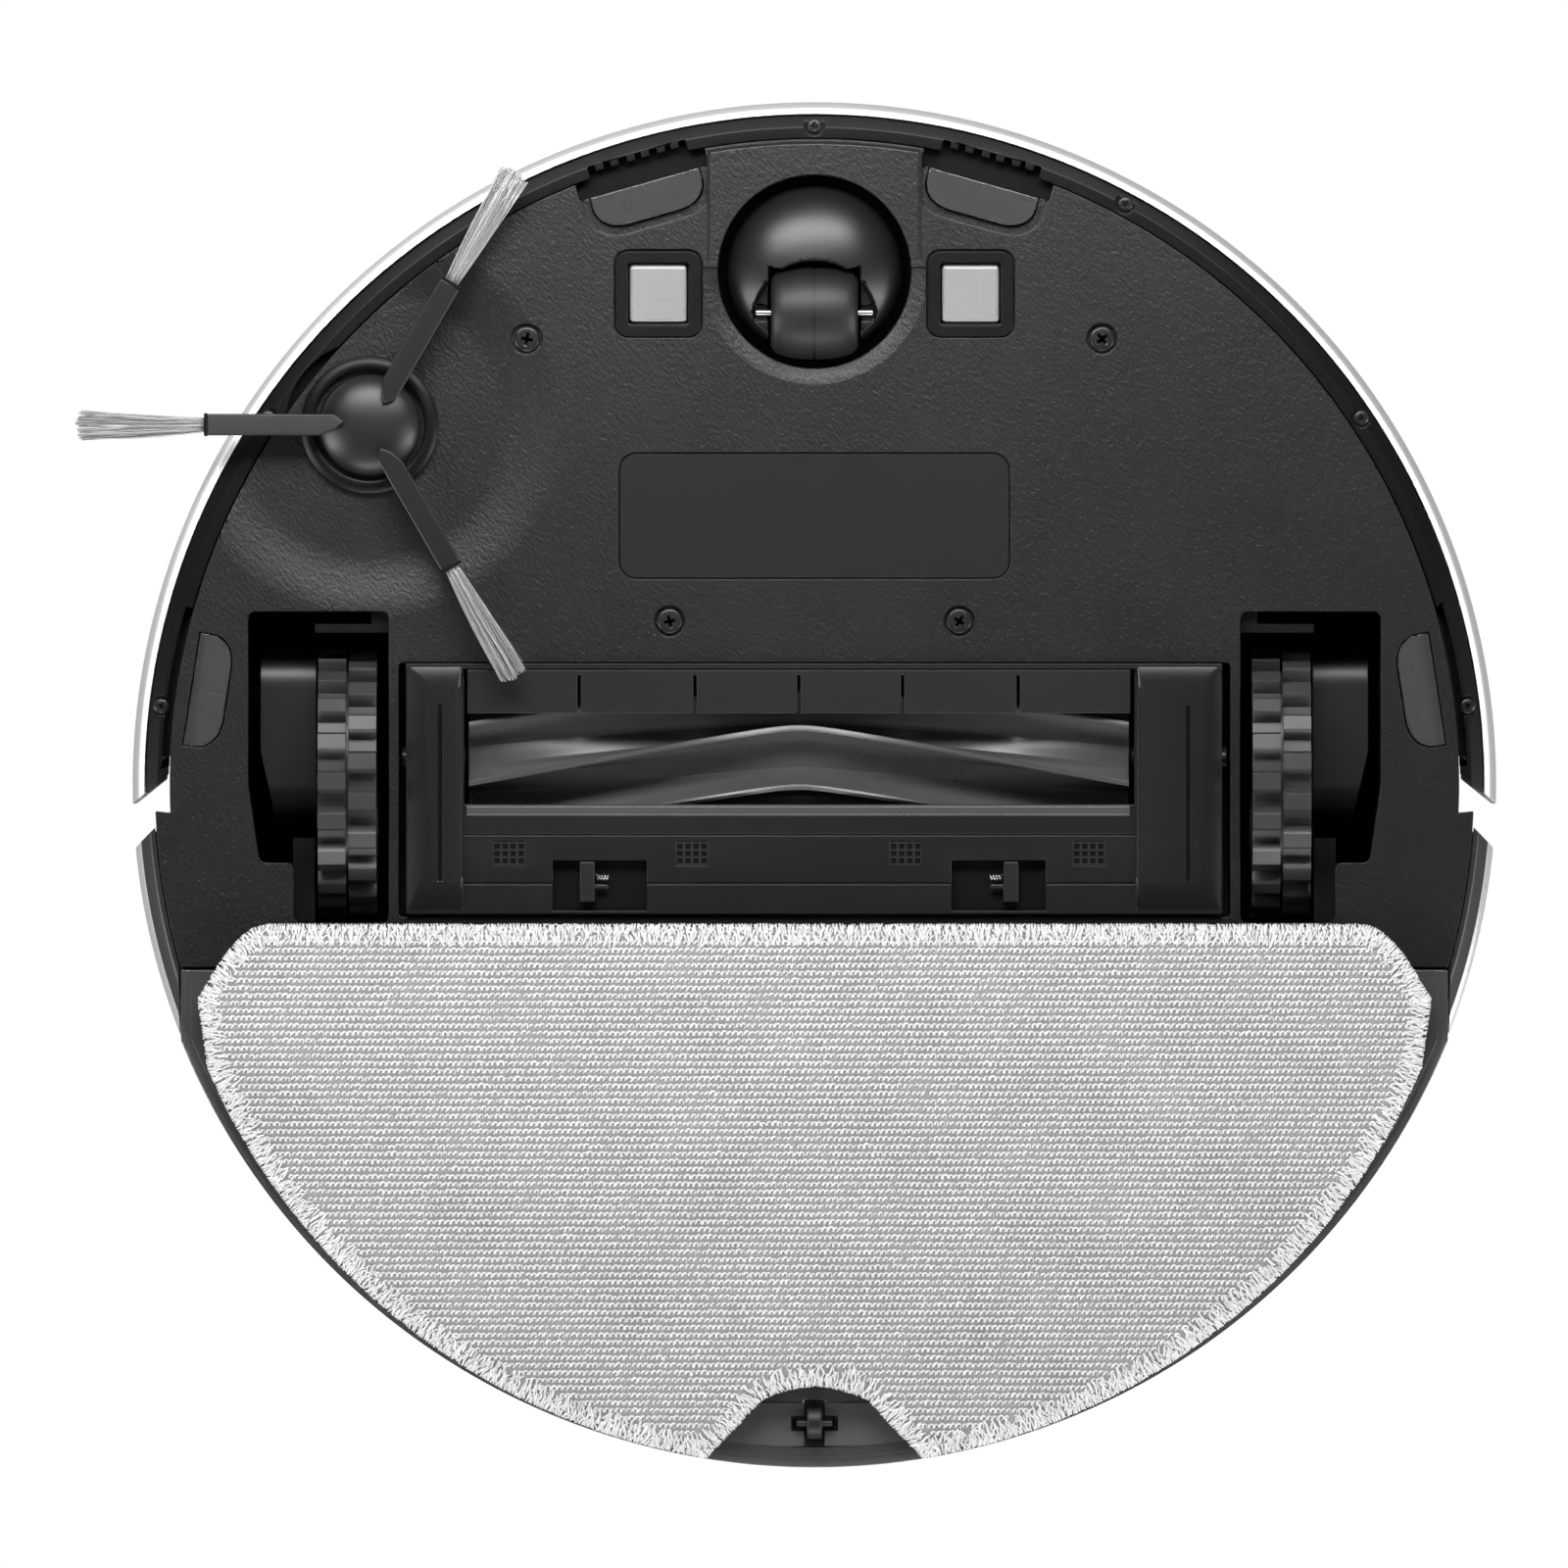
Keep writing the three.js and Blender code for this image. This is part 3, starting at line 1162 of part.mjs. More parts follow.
for (const [name, side] of SIDES) {
  const wheel = new THREE.Group();
  wheel.position.set(side * WHEEL_X, 0, WHEEL_R);
  robot.add(wheel);
  piece(`wheel_housing_${name}`, wheelHousing(side), SMOOTH_BLACK);
  piece(`rear_skirt_${name}`, rearSkirt(side), DARK_GREY);
  piece(`charge_contact_${name}`, chargeContact(side), STEEL);
  piece(`wheel_arm_${name}`, wheelArm(side), DARK_GREY);
  piece(`drive_motor_${name}`, driveMotor(side), STEEL);
  piece(`wheel_hub_${name}`, wheelHub(side), DARK_GREY, wheel);
  piece(`tyre_${name}`, tyre(), RUBBER, wheel);
}

const castor = new THREE.Group();
castor.position.set(0, CASTOR_Y, 0);
robot.add(castor);
piece('castor_dome', castorDome(), SMOOTH_BLACK, castor);
const castorAxle = new THREE.Group();
castorAxle.position.set(0, -CASTOR_TRAIL, CASTOR_R);
castor.add(castorAxle);
piece('castor_wheel', castorWheel(), RUBBER, castorAxle);
piece('castor_axle', rod(CASTOR_PIN_R, -CASTOR_PIN_HALF, CASTOR_PIN_HALF, 0, 0, 12), STEEL, castorAxle);

const roller = new THREE.Group();
roller.position.set(0, ROLLER_Y, ROLLER_Z);
robot.add(roller);
piece('brush_core', brushCore(), DARK_GREY, roller);
piece('brush_fins', brushFins(), RUBBER, roller);
piece('brush_guard', brushGuard(), SMOOTH_BLACK);
piece('guard_flaps', guardFlaps(), RUBBER);
LATCHES.forEach(([name, share, way]) => (
  piece(`guard_latch_${name}`, guardLatch(alongRoller(share), way), SMOOTH_BLACK)
));

const [sweepX, sweepY] = bearing(SIDE_BRUSH.r, SIDE_BRUSH.bearing);
const sweep = new THREE.Group();
sweep.position.set(sweepX, sweepY, 0);
robot.add(sweep);
piece('side_brush_motor', sideBrushMotor(sweepX, sweepY), STEEL);
piece('side_brush_hub', sideBrushHub(), RUBBER, sweep);
for (let i = 0; i < 3; i += 1) {
  piece(`side_brush_tuft_${i + 1}`, sideBrushTuft(i), BRISTLE, sweep);
}

const rearRollerPlace = new THREE.Group();
rearRollerPlace.position.set(0, REAR_ROLLER.y, REAR_ROLLER.z);
robot.add(rearRollerPlace);
piece('water_tank', waterTank(), SMOKE);
piece('mop_holder', mopHolder(), DARK_GREY);
piece('mop_pad', mopPad(), CLOTH);
piece('rear_roller', rearRoller(), RUBBER, rearRollerPlace);

const turret = new THREE.Group();
turret.position.set(0, LIDAR_Y, 0);
robot.add(turret);
piece('lidar_base', lidarBase(), INNER);
piece('lidar_rotor', lidarRotor(), INNER, turret);
piece('lidar_shroud', lidarShroud(), SMOOTH_BLACK, turret);
BUTTONS.forEach(([name, x]) => piece(name, button(x), WHITE));

export default robot;
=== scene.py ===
"""A robot vacuum with a mopping module: its visible pieces, finishes, lights and camera."""
import json
import math
import random

import bpy
import numpy as np
from mathutils import Matrix, Vector

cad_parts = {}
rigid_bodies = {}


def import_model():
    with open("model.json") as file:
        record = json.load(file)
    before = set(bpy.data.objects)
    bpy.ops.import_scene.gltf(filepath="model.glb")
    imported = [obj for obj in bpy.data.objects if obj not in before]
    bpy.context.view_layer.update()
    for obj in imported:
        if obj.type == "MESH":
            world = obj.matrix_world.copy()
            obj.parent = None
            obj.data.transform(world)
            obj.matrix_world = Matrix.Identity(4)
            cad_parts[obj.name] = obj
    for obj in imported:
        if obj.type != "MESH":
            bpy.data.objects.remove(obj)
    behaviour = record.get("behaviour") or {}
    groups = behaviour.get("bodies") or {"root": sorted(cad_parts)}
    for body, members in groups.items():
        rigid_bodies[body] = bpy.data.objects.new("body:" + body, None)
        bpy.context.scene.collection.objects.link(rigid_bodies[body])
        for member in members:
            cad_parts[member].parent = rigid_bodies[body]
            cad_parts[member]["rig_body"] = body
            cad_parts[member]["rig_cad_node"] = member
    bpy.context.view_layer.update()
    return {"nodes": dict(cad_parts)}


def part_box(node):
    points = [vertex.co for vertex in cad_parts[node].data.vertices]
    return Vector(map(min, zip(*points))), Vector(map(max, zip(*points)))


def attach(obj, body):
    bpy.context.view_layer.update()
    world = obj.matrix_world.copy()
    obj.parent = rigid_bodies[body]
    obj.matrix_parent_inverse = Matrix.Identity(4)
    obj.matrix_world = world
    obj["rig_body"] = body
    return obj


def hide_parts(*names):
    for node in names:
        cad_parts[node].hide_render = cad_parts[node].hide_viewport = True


bl_info = {
    "name": "Robot vacuum with mop",
    "version": (1, 0, 0),
    "blender": (4, 5, 0),
    "location": "View3D > Sidebar > Robot vacuum",
    "description": "Builds a robot vacuum's visible pieces around its fixed frame",
    "category": "Object",
}

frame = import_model()
NODES = frame["nodes"]

# ------------------------------------------------------------------ sizes
# Lengths are in millimetres until a helper puts them into the mesh.
MM = 0.001
REACH = 400
GAP = 0.3
RUN = 0.6
FINE = 288  # facets round the body


def low(node):
    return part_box(node)[0] / MM


def high(node):
    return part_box(node)[1] / MM


def middle(node):
    return (low(node) + high(node)) / 2


BODY_R = high("bumper_skin").x
PLATE_Z = 10.0
PLATE_T = 2.4
PLATE_TOP = PLATE_Z + PLATE_T
FRONT_R = BODY_R - 9.8
REAR_R = BODY_R - 6
NOTCH_FRONT = 2.6
NOTCH_BACK = -7.4
BUMPER_TRAVEL = 4.0
SHELF_END = NOTCH_FRONT + BUMPER_TRAVEL + 2 * GAP
BUMPER_SLOPE = 0.817  # of the bumper's ends, seen from below
LIP_Z = low("bumper_skin").z
SHELL_TOP = high("bumper_skin").z
DECK_LOW = low("top_cover").z
DECK_TOP = high("top_cover").z
ROLL = 6.0  # radius of the shell's top edge
CASTOR = middle("castor_dome")
CASTOR_POCKET_R = 24.8
HUB = middle("side_brush_motor")
DISH_R = 50
DISH_DEPTH = 2.2
TANK_FRONT = -38.6
TANK_Z = low("water_tank").z
TANK_TOP = high("water_tank").z
TANK_WALL = 2.4
EAR_X = high("water_tank").x
EAR_INNER_X = 151.2
EAR_Y = -47.6
BAY = (-106.5, 106.5, -34.1, 31.1)  # of the main brush: X, X, Y, Y
WELL = (109.1, 145.1, 44.2)  # inner X, outer X, front Y
LENS = (28.8, 9.0)  # length along the rim, depth
LENSES = {  # bearing, distance in from the plate's edge
    "cliff_lens_front_right": (15.8, 5.2),
    "cliff_lens_front_left": (-15.8, 5.2),
    "cliff_lens_side_right": (81.3, 3.9),
    "cliff_lens_side_left": (-81.3, 3.9),
}
SMALL_SCREWS = (0, 28.2, -28.2, 56.2, -56.2, 83.2, -83.2)  # bearings on the liner
SMALL_SCREW_R = 168.6
ROLLER = middle("brush_fins")
FIN_COUNT = 7
FIN_TWIST = 0.84  # radians, from the middle to each end
FIN_PHASE = -0.206  # radians
LUG_COUNT = 21
GUARD_LOW = low("brush_guard")
GUARD_HIGH = high("brush_guard")
MESH_PLACES = [ROLLER.x + 85 * share for share in (0.873, 0.322, -0.322, -0.874)]
MESH_Y = (-21.0, -14.6)


# ---------------------------------------------------------- modelling tools
def free():
    """Leaves edit mode and deselects everything."""
    if bpy.context.mode != "OBJECT":
        bpy.ops.object.mode_set(mode="OBJECT")
    bpy.ops.object.select_all(action="DESELECT")


def only(piece):
    """Makes one piece selected and active."""
    free()
    piece.hide_set(False)
    piece.select_set(True)
    bpy.context.view_layer.objects.active = piece
    return piece


def edit(piece):
    """Opens a piece in edit mode with all of it selected."""
    only(piece)
    bpy.ops.object.mode_set(mode="EDIT")
    bpy.ops.mesh.select_all(action="SELECT")


def named(name):
    """Names the new primitive and applies its place."""
    piece = bpy.context.object
    piece.name = piece.data.name = name
    bpy.ops.object.transform_apply(location=True, rotation=True, scale=True)
    return piece


def block(name, x0, x1, y0, y1, z0, z1):
    free()
    bpy.ops.mesh.primitive_cube_add(
        size=1,
        location=((x0 + x1) / 2 * MM, (y0 + y1) / 2 * MM, (z0 + z1) / 2 * MM),
        scale=(abs(x1 - x0) * MM, abs(y1 - y0) * MM, abs(z1 - z0) * MM),
    )
    return named(name)


def disc(name, r, z0, z1, x=0.0, y=0.0, sides=64):
    free()
    bpy.ops.mesh.primitive_cylinder_add(
        vertices=sides, radius=r * MM, depth=(z1 - z0) * MM,
        location=(x * MM, y * MM, (z0 + z1) / 2 * MM),
    )
    return named(name)


def rod(name, r, x0, x1, y, z, sides=48):
    """A cylinder along X."""
    free()
    bpy.ops.mesh.primitive_cylinder_add(
        vertices=sides, radius=r * MM, depth=abs(x1 - x0) * MM,
        location=((x0 + x1) / 2 * MM, y * MM, z * MM), rotation=(0, math.pi / 2, 0),
    )
    return named(name)


def place_points(piece, points):
    """Puts a mesh's points at the given places, in millimetres."""
    flat = np.asarray(points, np.float32).ravel() * MM
    piece.data.vertices.foreach_set("co", flat)
    piece.data.update()


def read_points(piece):
    flat = np.zeros(3 * len(piece.data.vertices), np.float32)
    piece.data.vertices.foreach_get("co", flat)
    return flat.reshape(-1, 3).astype(float) / MM


def slab(name, outline, z0, z1, steps=1):
    """A flat outline of (x, y) points, carried up from z0 to z1 in equal steps."""
    free()
    bpy.ops.mesh.primitive_circle_add(vertices=len(outline), radius=1, fill_type="NGON")
    piece = named(name)
    place_points(piece, [(x, y, z0) for x, y in outline])
    edit(piece)
    for _ in range(steps):
        bpy.ops.mesh.extrude_region_move(
            TRANSFORM_OT_translate={"value": (0, 0, (z1 - z0) / steps * MM)}
        )
    bpy.ops.mesh.select_all(action="SELECT")
    bpy.ops.mesh.normals_make_consistent(inside=False)
    free()
    return piece


def turned_about(piece, matrix):
    """Applies a matrix to a piece's mesh, and keeps it facing outwards."""
    piece.data.transform(matrix)
    if matrix.determinant() < 0:
        edit(piece)
        bpy.ops.mesh.flip_normals()
        free()
    return piece


def sideways(name, outline, x0, x1, steps=1):
    """An outline of (y, z) points, carried along X."""
    piece = slab(name, outline, x0, x1, steps)
    return turned_about(piece, Matrix(((0, 0, 1, 0), (1, 0, 0, 0), (0, 1, 0, 0), (0, 0, 0, 1))))


def spun(name, profile, x=0.0, y=0.0, steps=64):
    """A closed profile of (radius, height) points, spun about an upright axis."""
    free()
    bpy.ops.mesh.primitive_circle_add(vertices=len(profile), radius=1, fill_type="NOTHING")
    piece = named(name)
    place_points(piece, [(r, 0, z) for r, z in profile])
    edit(piece)
    bpy.ops.mesh.spin(
        steps=steps, angle=2 * math.pi, center=(0, 0, 0), axis=(0, 0, 1), use_auto_merge=True
    )
    bpy.ops.mesh.select_all(action="SELECT")
    bpy.ops.mesh.remove_doubles(threshold=1e-6)
    bpy.ops.mesh.dissolve_degenerate(threshold=1e-7)
    bpy.ops.mesh.select_all(action="SELECT")
    bpy.ops.mesh.normals_make_consistent(inside=False)
    free()
    piece.data.transform(Matrix.Translation((x * MM, y * MM, 0)))
    return piece


def combined(piece, how, tools):
    for tool in tools:
        only(piece)
        bpy.ops.object.modifier_add(type="BOOLEAN")
        modifier = piece.modifiers[-1]
        modifier.operation = how
        modifier.solver = "EXACT"
        modifier.object = tool
        bpy.ops.object.modifier_apply(modifier=modifier.name)
        bpy.data.objects.remove(tool)
    return piece


def cut(piece, *tools):
    return combined(piece, "DIFFERENCE", tools)


def kept(piece, *tools):
    return combined(piece, "INTERSECT", tools)


def fused(piece, *tools):
    return combined(piece, "UNION", tools)


def joined(name, pieces):
    """Several loose parts as one piece."""
    free()
    for piece in pieces:
        piece.select_set(True)
    bpy.context.view_layer.objects.active = pieces[0]
    bpy.ops.object.join()
    whole = bpy.context.object
    whole.name = whole.data.name = name
    return whole


def copied(piece, name, matrix=None):
    """A copy with its own mesh, moved by a matrix."""
    only(piece)
    bpy.ops.object.duplicate()
    copy = bpy.context.object
    copy.name = copy.data.name = name
    if matrix is not None:
        turned_about(copy, matrix)
    return copy


def softened(piece, width=0.3, segments=2, sharp=40, smooth=38, clamp=False):
    """Rounds the sharp edges a little and sets clean shading."""
    edit(piece)
    bpy.ops.mesh.remove_doubles(threshold=2e-6)
    free()
    only(piece)
    if width:
        bpy.ops.object.modifier_add(type="BEVEL")
        bevel = piece.modifiers[-1]
        bevel.width = width * MM
        bevel.segments = segments
        bevel.limit_method = "ANGLE"
        bevel.angle_limit = math.radians(sharp)
        bevel.use_clamp_overlap = clamp
        bpy.ops.object.modifier_apply(modifier=bevel.name)
    bpy.ops.object.shade_smooth_by_angle(angle=math.radians(smooth))
    bpy.ops.object.modifier_add(type="WEIGHTED_NORMAL")
    weighted = piece.modifiers[-1]
    weighted.keep_sharp = True
    weighted.weight = 100
    bpy.ops.object.modifier_apply(modifier=weighted.name)
    return piece


def from_node(node_name, name, width=0.3, segments=2, smooth=38):
    """A CAD node's mesh, merged and with rounded edges."""
    only(NODES[node_name])
    bpy.ops.object.duplicate()
    piece = bpy.context.object
    piece.parent = None
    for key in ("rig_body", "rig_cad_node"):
        if key in piece:
            del piece[key]
    piece.name = piece.data.name = name
    edit(piece)
    bpy.ops.mesh.remove_doubles(threshold=2e-6)
    bpy.ops.mesh.dissolve_limited(angle_limit=math.radians(0.6))
    free()
    return softened(piece, width, segments, smooth=smooth, clamp=True)


def tube(name, points, r, sides=6, closed=False):
    """A round wire through the given points, in millimetres."""
    data = bpy.data.curves.new(name, "CURVE")
    data.dimensions = "3D"
    line = data.splines.new("POLY")
    line.points.add(len(points) - 1)
    for point, place in zip(line.points, points):
        point.co = (*(Vector(place) * MM), 1)
    line.use_cyclic_u = closed
    data.bevel_depth = r * MM
    data.bevel_resolution = max(0, (sides - 4) // 2)
    data.use_fill_caps = True
    piece = bpy.data.objects.new(name, data)
    bpy.context.scene.collection.objects.link(piece)
    only(piece)
    bpy.ops.object.convert(target="MESH")
    return bpy.context.object


def repeated(unit, name, places, shades=None):
    """One unit's mesh repeated in a single piece; places holds arrays of moved points."""
    count = len(places)
    size = len(unit.data.vertices)
    faces = [tuple(p.vertices) for p in unit.data.polygons]
    loops = np.array([v for f in faces for v in f], np.int32)
    totals = np.array([len(f) for f in faces], np.int32)
    mesh = bpy.data.meshes.new(name)
    mesh.vertices.add(count * size)
    mesh.vertices.foreach_set("co", (np.asarray(places, np.float32) * MM).ravel())
    mesh.loops.add(count * len(loops))
    shift = np.repeat(np.arange(count) * size, len(loops)).astype(np.int32)
    mesh.loops.foreach_set("vertex_index", np.tile(loops, count) + shift)
    mesh.polygons.add(count * len(totals))
    starts = np.concatenate(([0], np.cumsum(np.tile(totals, count))[:-1])).astype(np.int32)
    mesh.polygons.foreach_set("loop_start", starts)
    mesh.update(calc_edges=True)
    if shades is not None:
        layer = mesh.attributes.new("shade", "FLOAT", "POINT")
        layer.data.foreach_set("value", np.repeat(np.asarray(shades, np.float32), size))
    piece = bpy.data.objects.new(name, mesh)
    bpy.context.scene.collection.objects.link(piece)
    bpy.data.objects.remove(unit)
    only(piece)
    bpy.ops.object.shade_smooth()
    return piece


def bearing(r, degrees):
    """A place at radius r, at a bearing from straight ahead towards the right."""
    angle = math.radians(degrees)
    return r * math.sin(angle), r * math.cos(angle)


def carried(piece, r, degrees):
    """A piece drawn with +Y outward, moved out to a bearing."""
    out = Matrix.Rotation(-math.radians(degrees), 4, "Z") @ Matrix.Translation((0, r * MM, 0))
    return turned_about(piece, out)


def arc(r, start, end, count, x=0.0, y=0.0):
    """Points along an arc; angles in degrees from +X."""
    angles = np.radians(np.linspace(start, end, count))
    return [(x + r * math.cos(a), y + r * math.sin(a)) for a in angles]


def rounded(w, h, r, x=0.0, y=0.0, steps=8):
    points = []
    for cx, cy, start in ((1, -1, -90), (1, 1, 0), (-1, 1, 90), (-1, -1, 180)):
        points += arc(r, start, start + 90, steps, x + cx * (w / 2 - r), y + cy * (h / 2 - r))
    return points


def mirrored(half):
    """An outline from its +X half, given from front to back."""
    return list(half) + [(-x, y) for x, y in reversed(half)]


# ----------------------------------------------------------------- outlines
def tank_plan(grow):
    return mirrored([
        (144 + 0.6 * grow, TANK_FRONT + grow),
        (EAR_INNER_X + 0.8 * grow, EAR_Y + grow),
        (EAR_X + grow, EAR_Y + grow),
        (EAR_X + grow, -REACH),
    ])


def well_plan(side, grow):
    inner, outer, front = WELL
    back = TANK_FRONT + RUN + PLATE_T - grow
    step = outer - 11.7 + grow
    return [
        (side * (inner - grow), front + grow), (side * (outer + grow), front + grow),
        (side * (outer + grow), 0), (side * (outer - 2.9 + grow), -20.2 - grow),
        (side * step, -20.2 - grow), (side * step, back), (side * (inner - grow), back),
    ]


def eased(outline, r, steps=5):
    """An outline with its corners rounded."""
    points = [Vector(p) for p in outline]
    made = []
    for before, corner, after in zip(points[-1:] + points[:-1], points, points[1:] + points[:1]):
        start = corner + (before - corner).normalized() * min(r, (before - corner).length / 2.1)
        end = corner + (after - corner).normalized() * min(r, (after - corner).length / 2.1)
        for i in range(steps + 1):
            t = i / steps
            made.append(tuple(start * (1 - t) ** 2 + corner * 2 * t * (1 - t) + end * t * t))
    return made


def tapered(name, lower, upper, z0, z1):
    """A block between two outlines of as many points."""
    piece = slab(name, lower, z0, z1)
    points = read_points(piece)
    top = np.abs(points[:, 2] - z1) < np.abs(points[:, 2] - z0)
    base = np.array(lower)
    nearest = np.argmin(np.linalg.norm(points[top][:, None, :2] - base[None], axis=2), axis=1)
    points[top, :2] = np.array(upper)[nearest]
    place_points(piece, points)
    return piece


def bumper_zone():
    inner_x, inner_y = FRONT_R - 1.8, NOTCH_FRONT + 2 * BUMPER_SLOPE
    end_y = inner_y - (REACH - inner_x) * BUMPER_SLOPE
    outline = mirrored([(REACH, REACH), (REACH, end_y), (inner_x, inner_y)])
    return slab("zone", outline, -REACH, REACH)


def rear_zone():
    start = (FRONT_R - 0.5, NOTCH_BACK + 0.5)
    return slab("zone", mirrored([start, (FRONT_R + REACH, NOTCH_BACK - REACH)]), -REACH, REACH)


def lens_outline(grow):
    half, depth = LENS[0] / 2 + grow, LENS[1] + grow
    points = [(-half, grow), (half, grow), (half, -0.3 * depth)]
    for t in np.linspace(0.12, 1, 8):
        u = 1 - t
        x = u**3 * half + 3 * u * u * t * half + 3 * u * t * t * 0.75 * half + t**3 * 0.45 * half
        y = u**3 * 0.3 + 3 * u * u * t * 0.75 + 3 * u * t * t + t**3
        points.append((x, -y * depth))
    return points + [(-x, y) for x, y in reversed(points[2:])]


def lens_tool(degrees, inset, grow, z0, z1):
    return carried(slab("tool", lens_outline(grow), z0, z1), FRONT_R - inset, degrees)


def mop_outline(inset, steps=120):
    """The cloth's edge, clockwise from its front left corner, with the rear notch."""
    r, centre_y = BODY_R - 5.3 - inset, -5.5
    top = high("mop_pad").y - inset
    corner_x, side_x = 139.6 - 0.4 * inset, high("mop_pad").x - inset
    half = [(corner_x, top)]
    for t in np.linspace(0.1, 1, 9):
        u = 1 - t
        first, second, third, fourth = u**3, 3 * u * u * t, 3 * u * t * t, t**3
        x = first * corner_x + second * (corner_x + 8) + third * (side_x - 5) + fourth * side_x
        y = first * top + second * top + third * (top - 11) - 55 * fourth
        half.append((x, y))
    end = -90 + math.degrees(0.162 + inset / r)
    half += arc(r, math.degrees(-0.407), end, steps, 0, centre_y)
    half += [
        (16.5 + inset, -161.5), (14 + inset, -158.7 + 0.5 * inset),
        (11.6 + inset, -157.2 + 0.6 * inset), (6 + 0.5 * inset, -155.4 + inset),
    ]
    return mirrored(half + [(1, low("mop_pad").y + 18.3 + inset)])


# ---------------------------------------------------------------- finishes
def node(tree, kind, inputs=None, **settings):
    """A shader node with its settings, and its inputs joined or given values."""
    made = tree.nodes.new(kind)
    for key, value in settings.items():
        setattr(made, key, value)
    for key, value in (inputs or {}).items():
        if isinstance(value, bpy.types.NodeSocket):
            tree.links.new(value, made.inputs[key])
        else:
            made.inputs[key].default_value = value
    return made


def effect(name, inputs, outputs):
    """An empty shader group with named sockets, with its input and output nodes."""
    tree = bpy.data.node_groups.new(name, "ShaderNodeTree")
    for label, kind, value in inputs:
        socket = tree.interface.new_socket(name=label, in_out="INPUT", socket_type=kind)
        socket.default_value = value
    for label, kind in outputs:
        tree.interface.new_socket(name=label, in_out="OUTPUT", socket_type=kind)
    return tree, node(tree, "NodeGroupInput"), node(tree, "NodeGroupOutput")


def maths(tree, operation, *values):
    made = node(tree, "ShaderNodeMath", operation=operation)
    for i, value in enumerate(values):
        if isinstance(value, bpy.types.NodeSocket):
            tree.links.new(value, made.inputs[i])
        else:
            made.inputs[i].default_value = value
    return made.outputs[0]


def make_tone():
    """Slow drift of colour and gloss, with faint fine mottling."""
    tree, start, end = effect(
        "Uneven tone",
        [("Colour", "NodeSocketColor", (0.5, 0.5, 0.5, 1)), ("Roughness", "NodeSocketFloat", 0.5),
         ("Amount", "NodeSocketFloat", 0.2), ("Scale", "NodeSocketFloat", 30.0)],
        [("Colour", "NodeSocketColor"), ("Roughness", "NodeSocketFloat")],
    )
    place = node(tree, "ShaderNodeTexCoord").outputs["Object"]
    slow = node(tree, "ShaderNodeTexNoise", {
        "Vector": place, "Scale": start.outputs["Scale"], "Detail": 5.0, "Roughness": 0.6,
    }).outputs["Fac"]
    fine = node(tree, "ShaderNodeTexNoise", {
        "Vector": place, "Scale": 1400.0, "Detail": 2.0,
    }).outputs["Fac"]
    both = maths(tree, "ADD", maths(tree, "MULTIPLY", slow, 0.7), maths(tree, "MULTIPLY", fine, 0.3))
    drift = maths(tree, "MULTIPLY", maths(tree, "SUBTRACT", both, 0.5), start.outputs["Amount"])
    gain = maths(tree, "ADD", 1.0, maths(tree, "MULTIPLY", drift, 2.0))
    tint = node(tree, "ShaderNodeVectorMath", {0: start.outputs["Colour"]}, operation="SCALE")
    tree.links.new(gain, tint.inputs["Scale"])
    tree.links.new(tint.outputs["Vector"], end.inputs["Colour"])
    tree.links.new(maths(tree, "ADD", start.outputs["Roughness"], drift), end.inputs["Roughness"])
    return tree


def make_leather():
    """Fine wrinkled moulding grain, longer one way than the other."""
    tree, start, end = effect(
        "Wrinkled grain",
        [("Cells per metre", "NodeSocketFloat", 850.0), ("Stretch", "NodeSocketFloat", 0.55),
         ("Turn", "NodeSocketFloat", 0.6)],
        [("Height", "NodeSocketFloat")],
    )
    place = node(tree, "ShaderNodeTexCoord").outputs["Object"]
    turn = node(tree, "ShaderNodeVectorRotate", {"Vector": place, "Angle": start.outputs["Turn"]},
                rotation_type="Z_AXIS").outputs["Vector"]
    split = node(tree, "ShaderNodeSeparateXYZ", {"Vector": turn})
    long_way = maths(tree, "MULTIPLY", split.outputs["Y"], start.outputs["Stretch"])
    warped = node(tree, "ShaderNodeCombineXYZ", {
        "X": split.outputs["X"], "Y": long_way, "Z": split.outputs["Z"],
    }).outputs["Vector"]
    scale = start.outputs["Cells per metre"]
    wrinkle = node(tree, "ShaderNodeTexNoise", {
        "Vector": warped, "Scale": scale, "Detail": 3.0, "Roughness": 0.55, "Distortion": 0.9,
    }).outputs["Fac"]
    cells = node(tree, "ShaderNodeTexVoronoi", {"Vector": warped, "Scale": scale}, feature="SMOOTH_F1")
    ridge = maths(tree, "MULTIPLY", cells.outputs["Distance"], 0.55)
    tree.links.new(maths(tree, "ADD", wrinkle, ridge), end.inputs["Height"])
    return tree


def make_spark():
    """Even matt moulding texture of fine pits."""
    tree, start, end = effect(
        "Fine pitting", [("Pits per metre", "NodeSocketFloat", 2200.0)], [("Height", "NodeSocketFloat")]
    )
    place = node(tree, "ShaderNodeTexCoord").outputs["Object"]
    pits = node(tree, "ShaderNodeTexNoise", {
        "Vector": place, "Scale": start.outputs["Pits per metre"], "Detail": 3.0, "Roughness": 0.7,
    }).outputs["Fac"]
    tree.links.new(pits, end.inputs["Height"])
    return tree


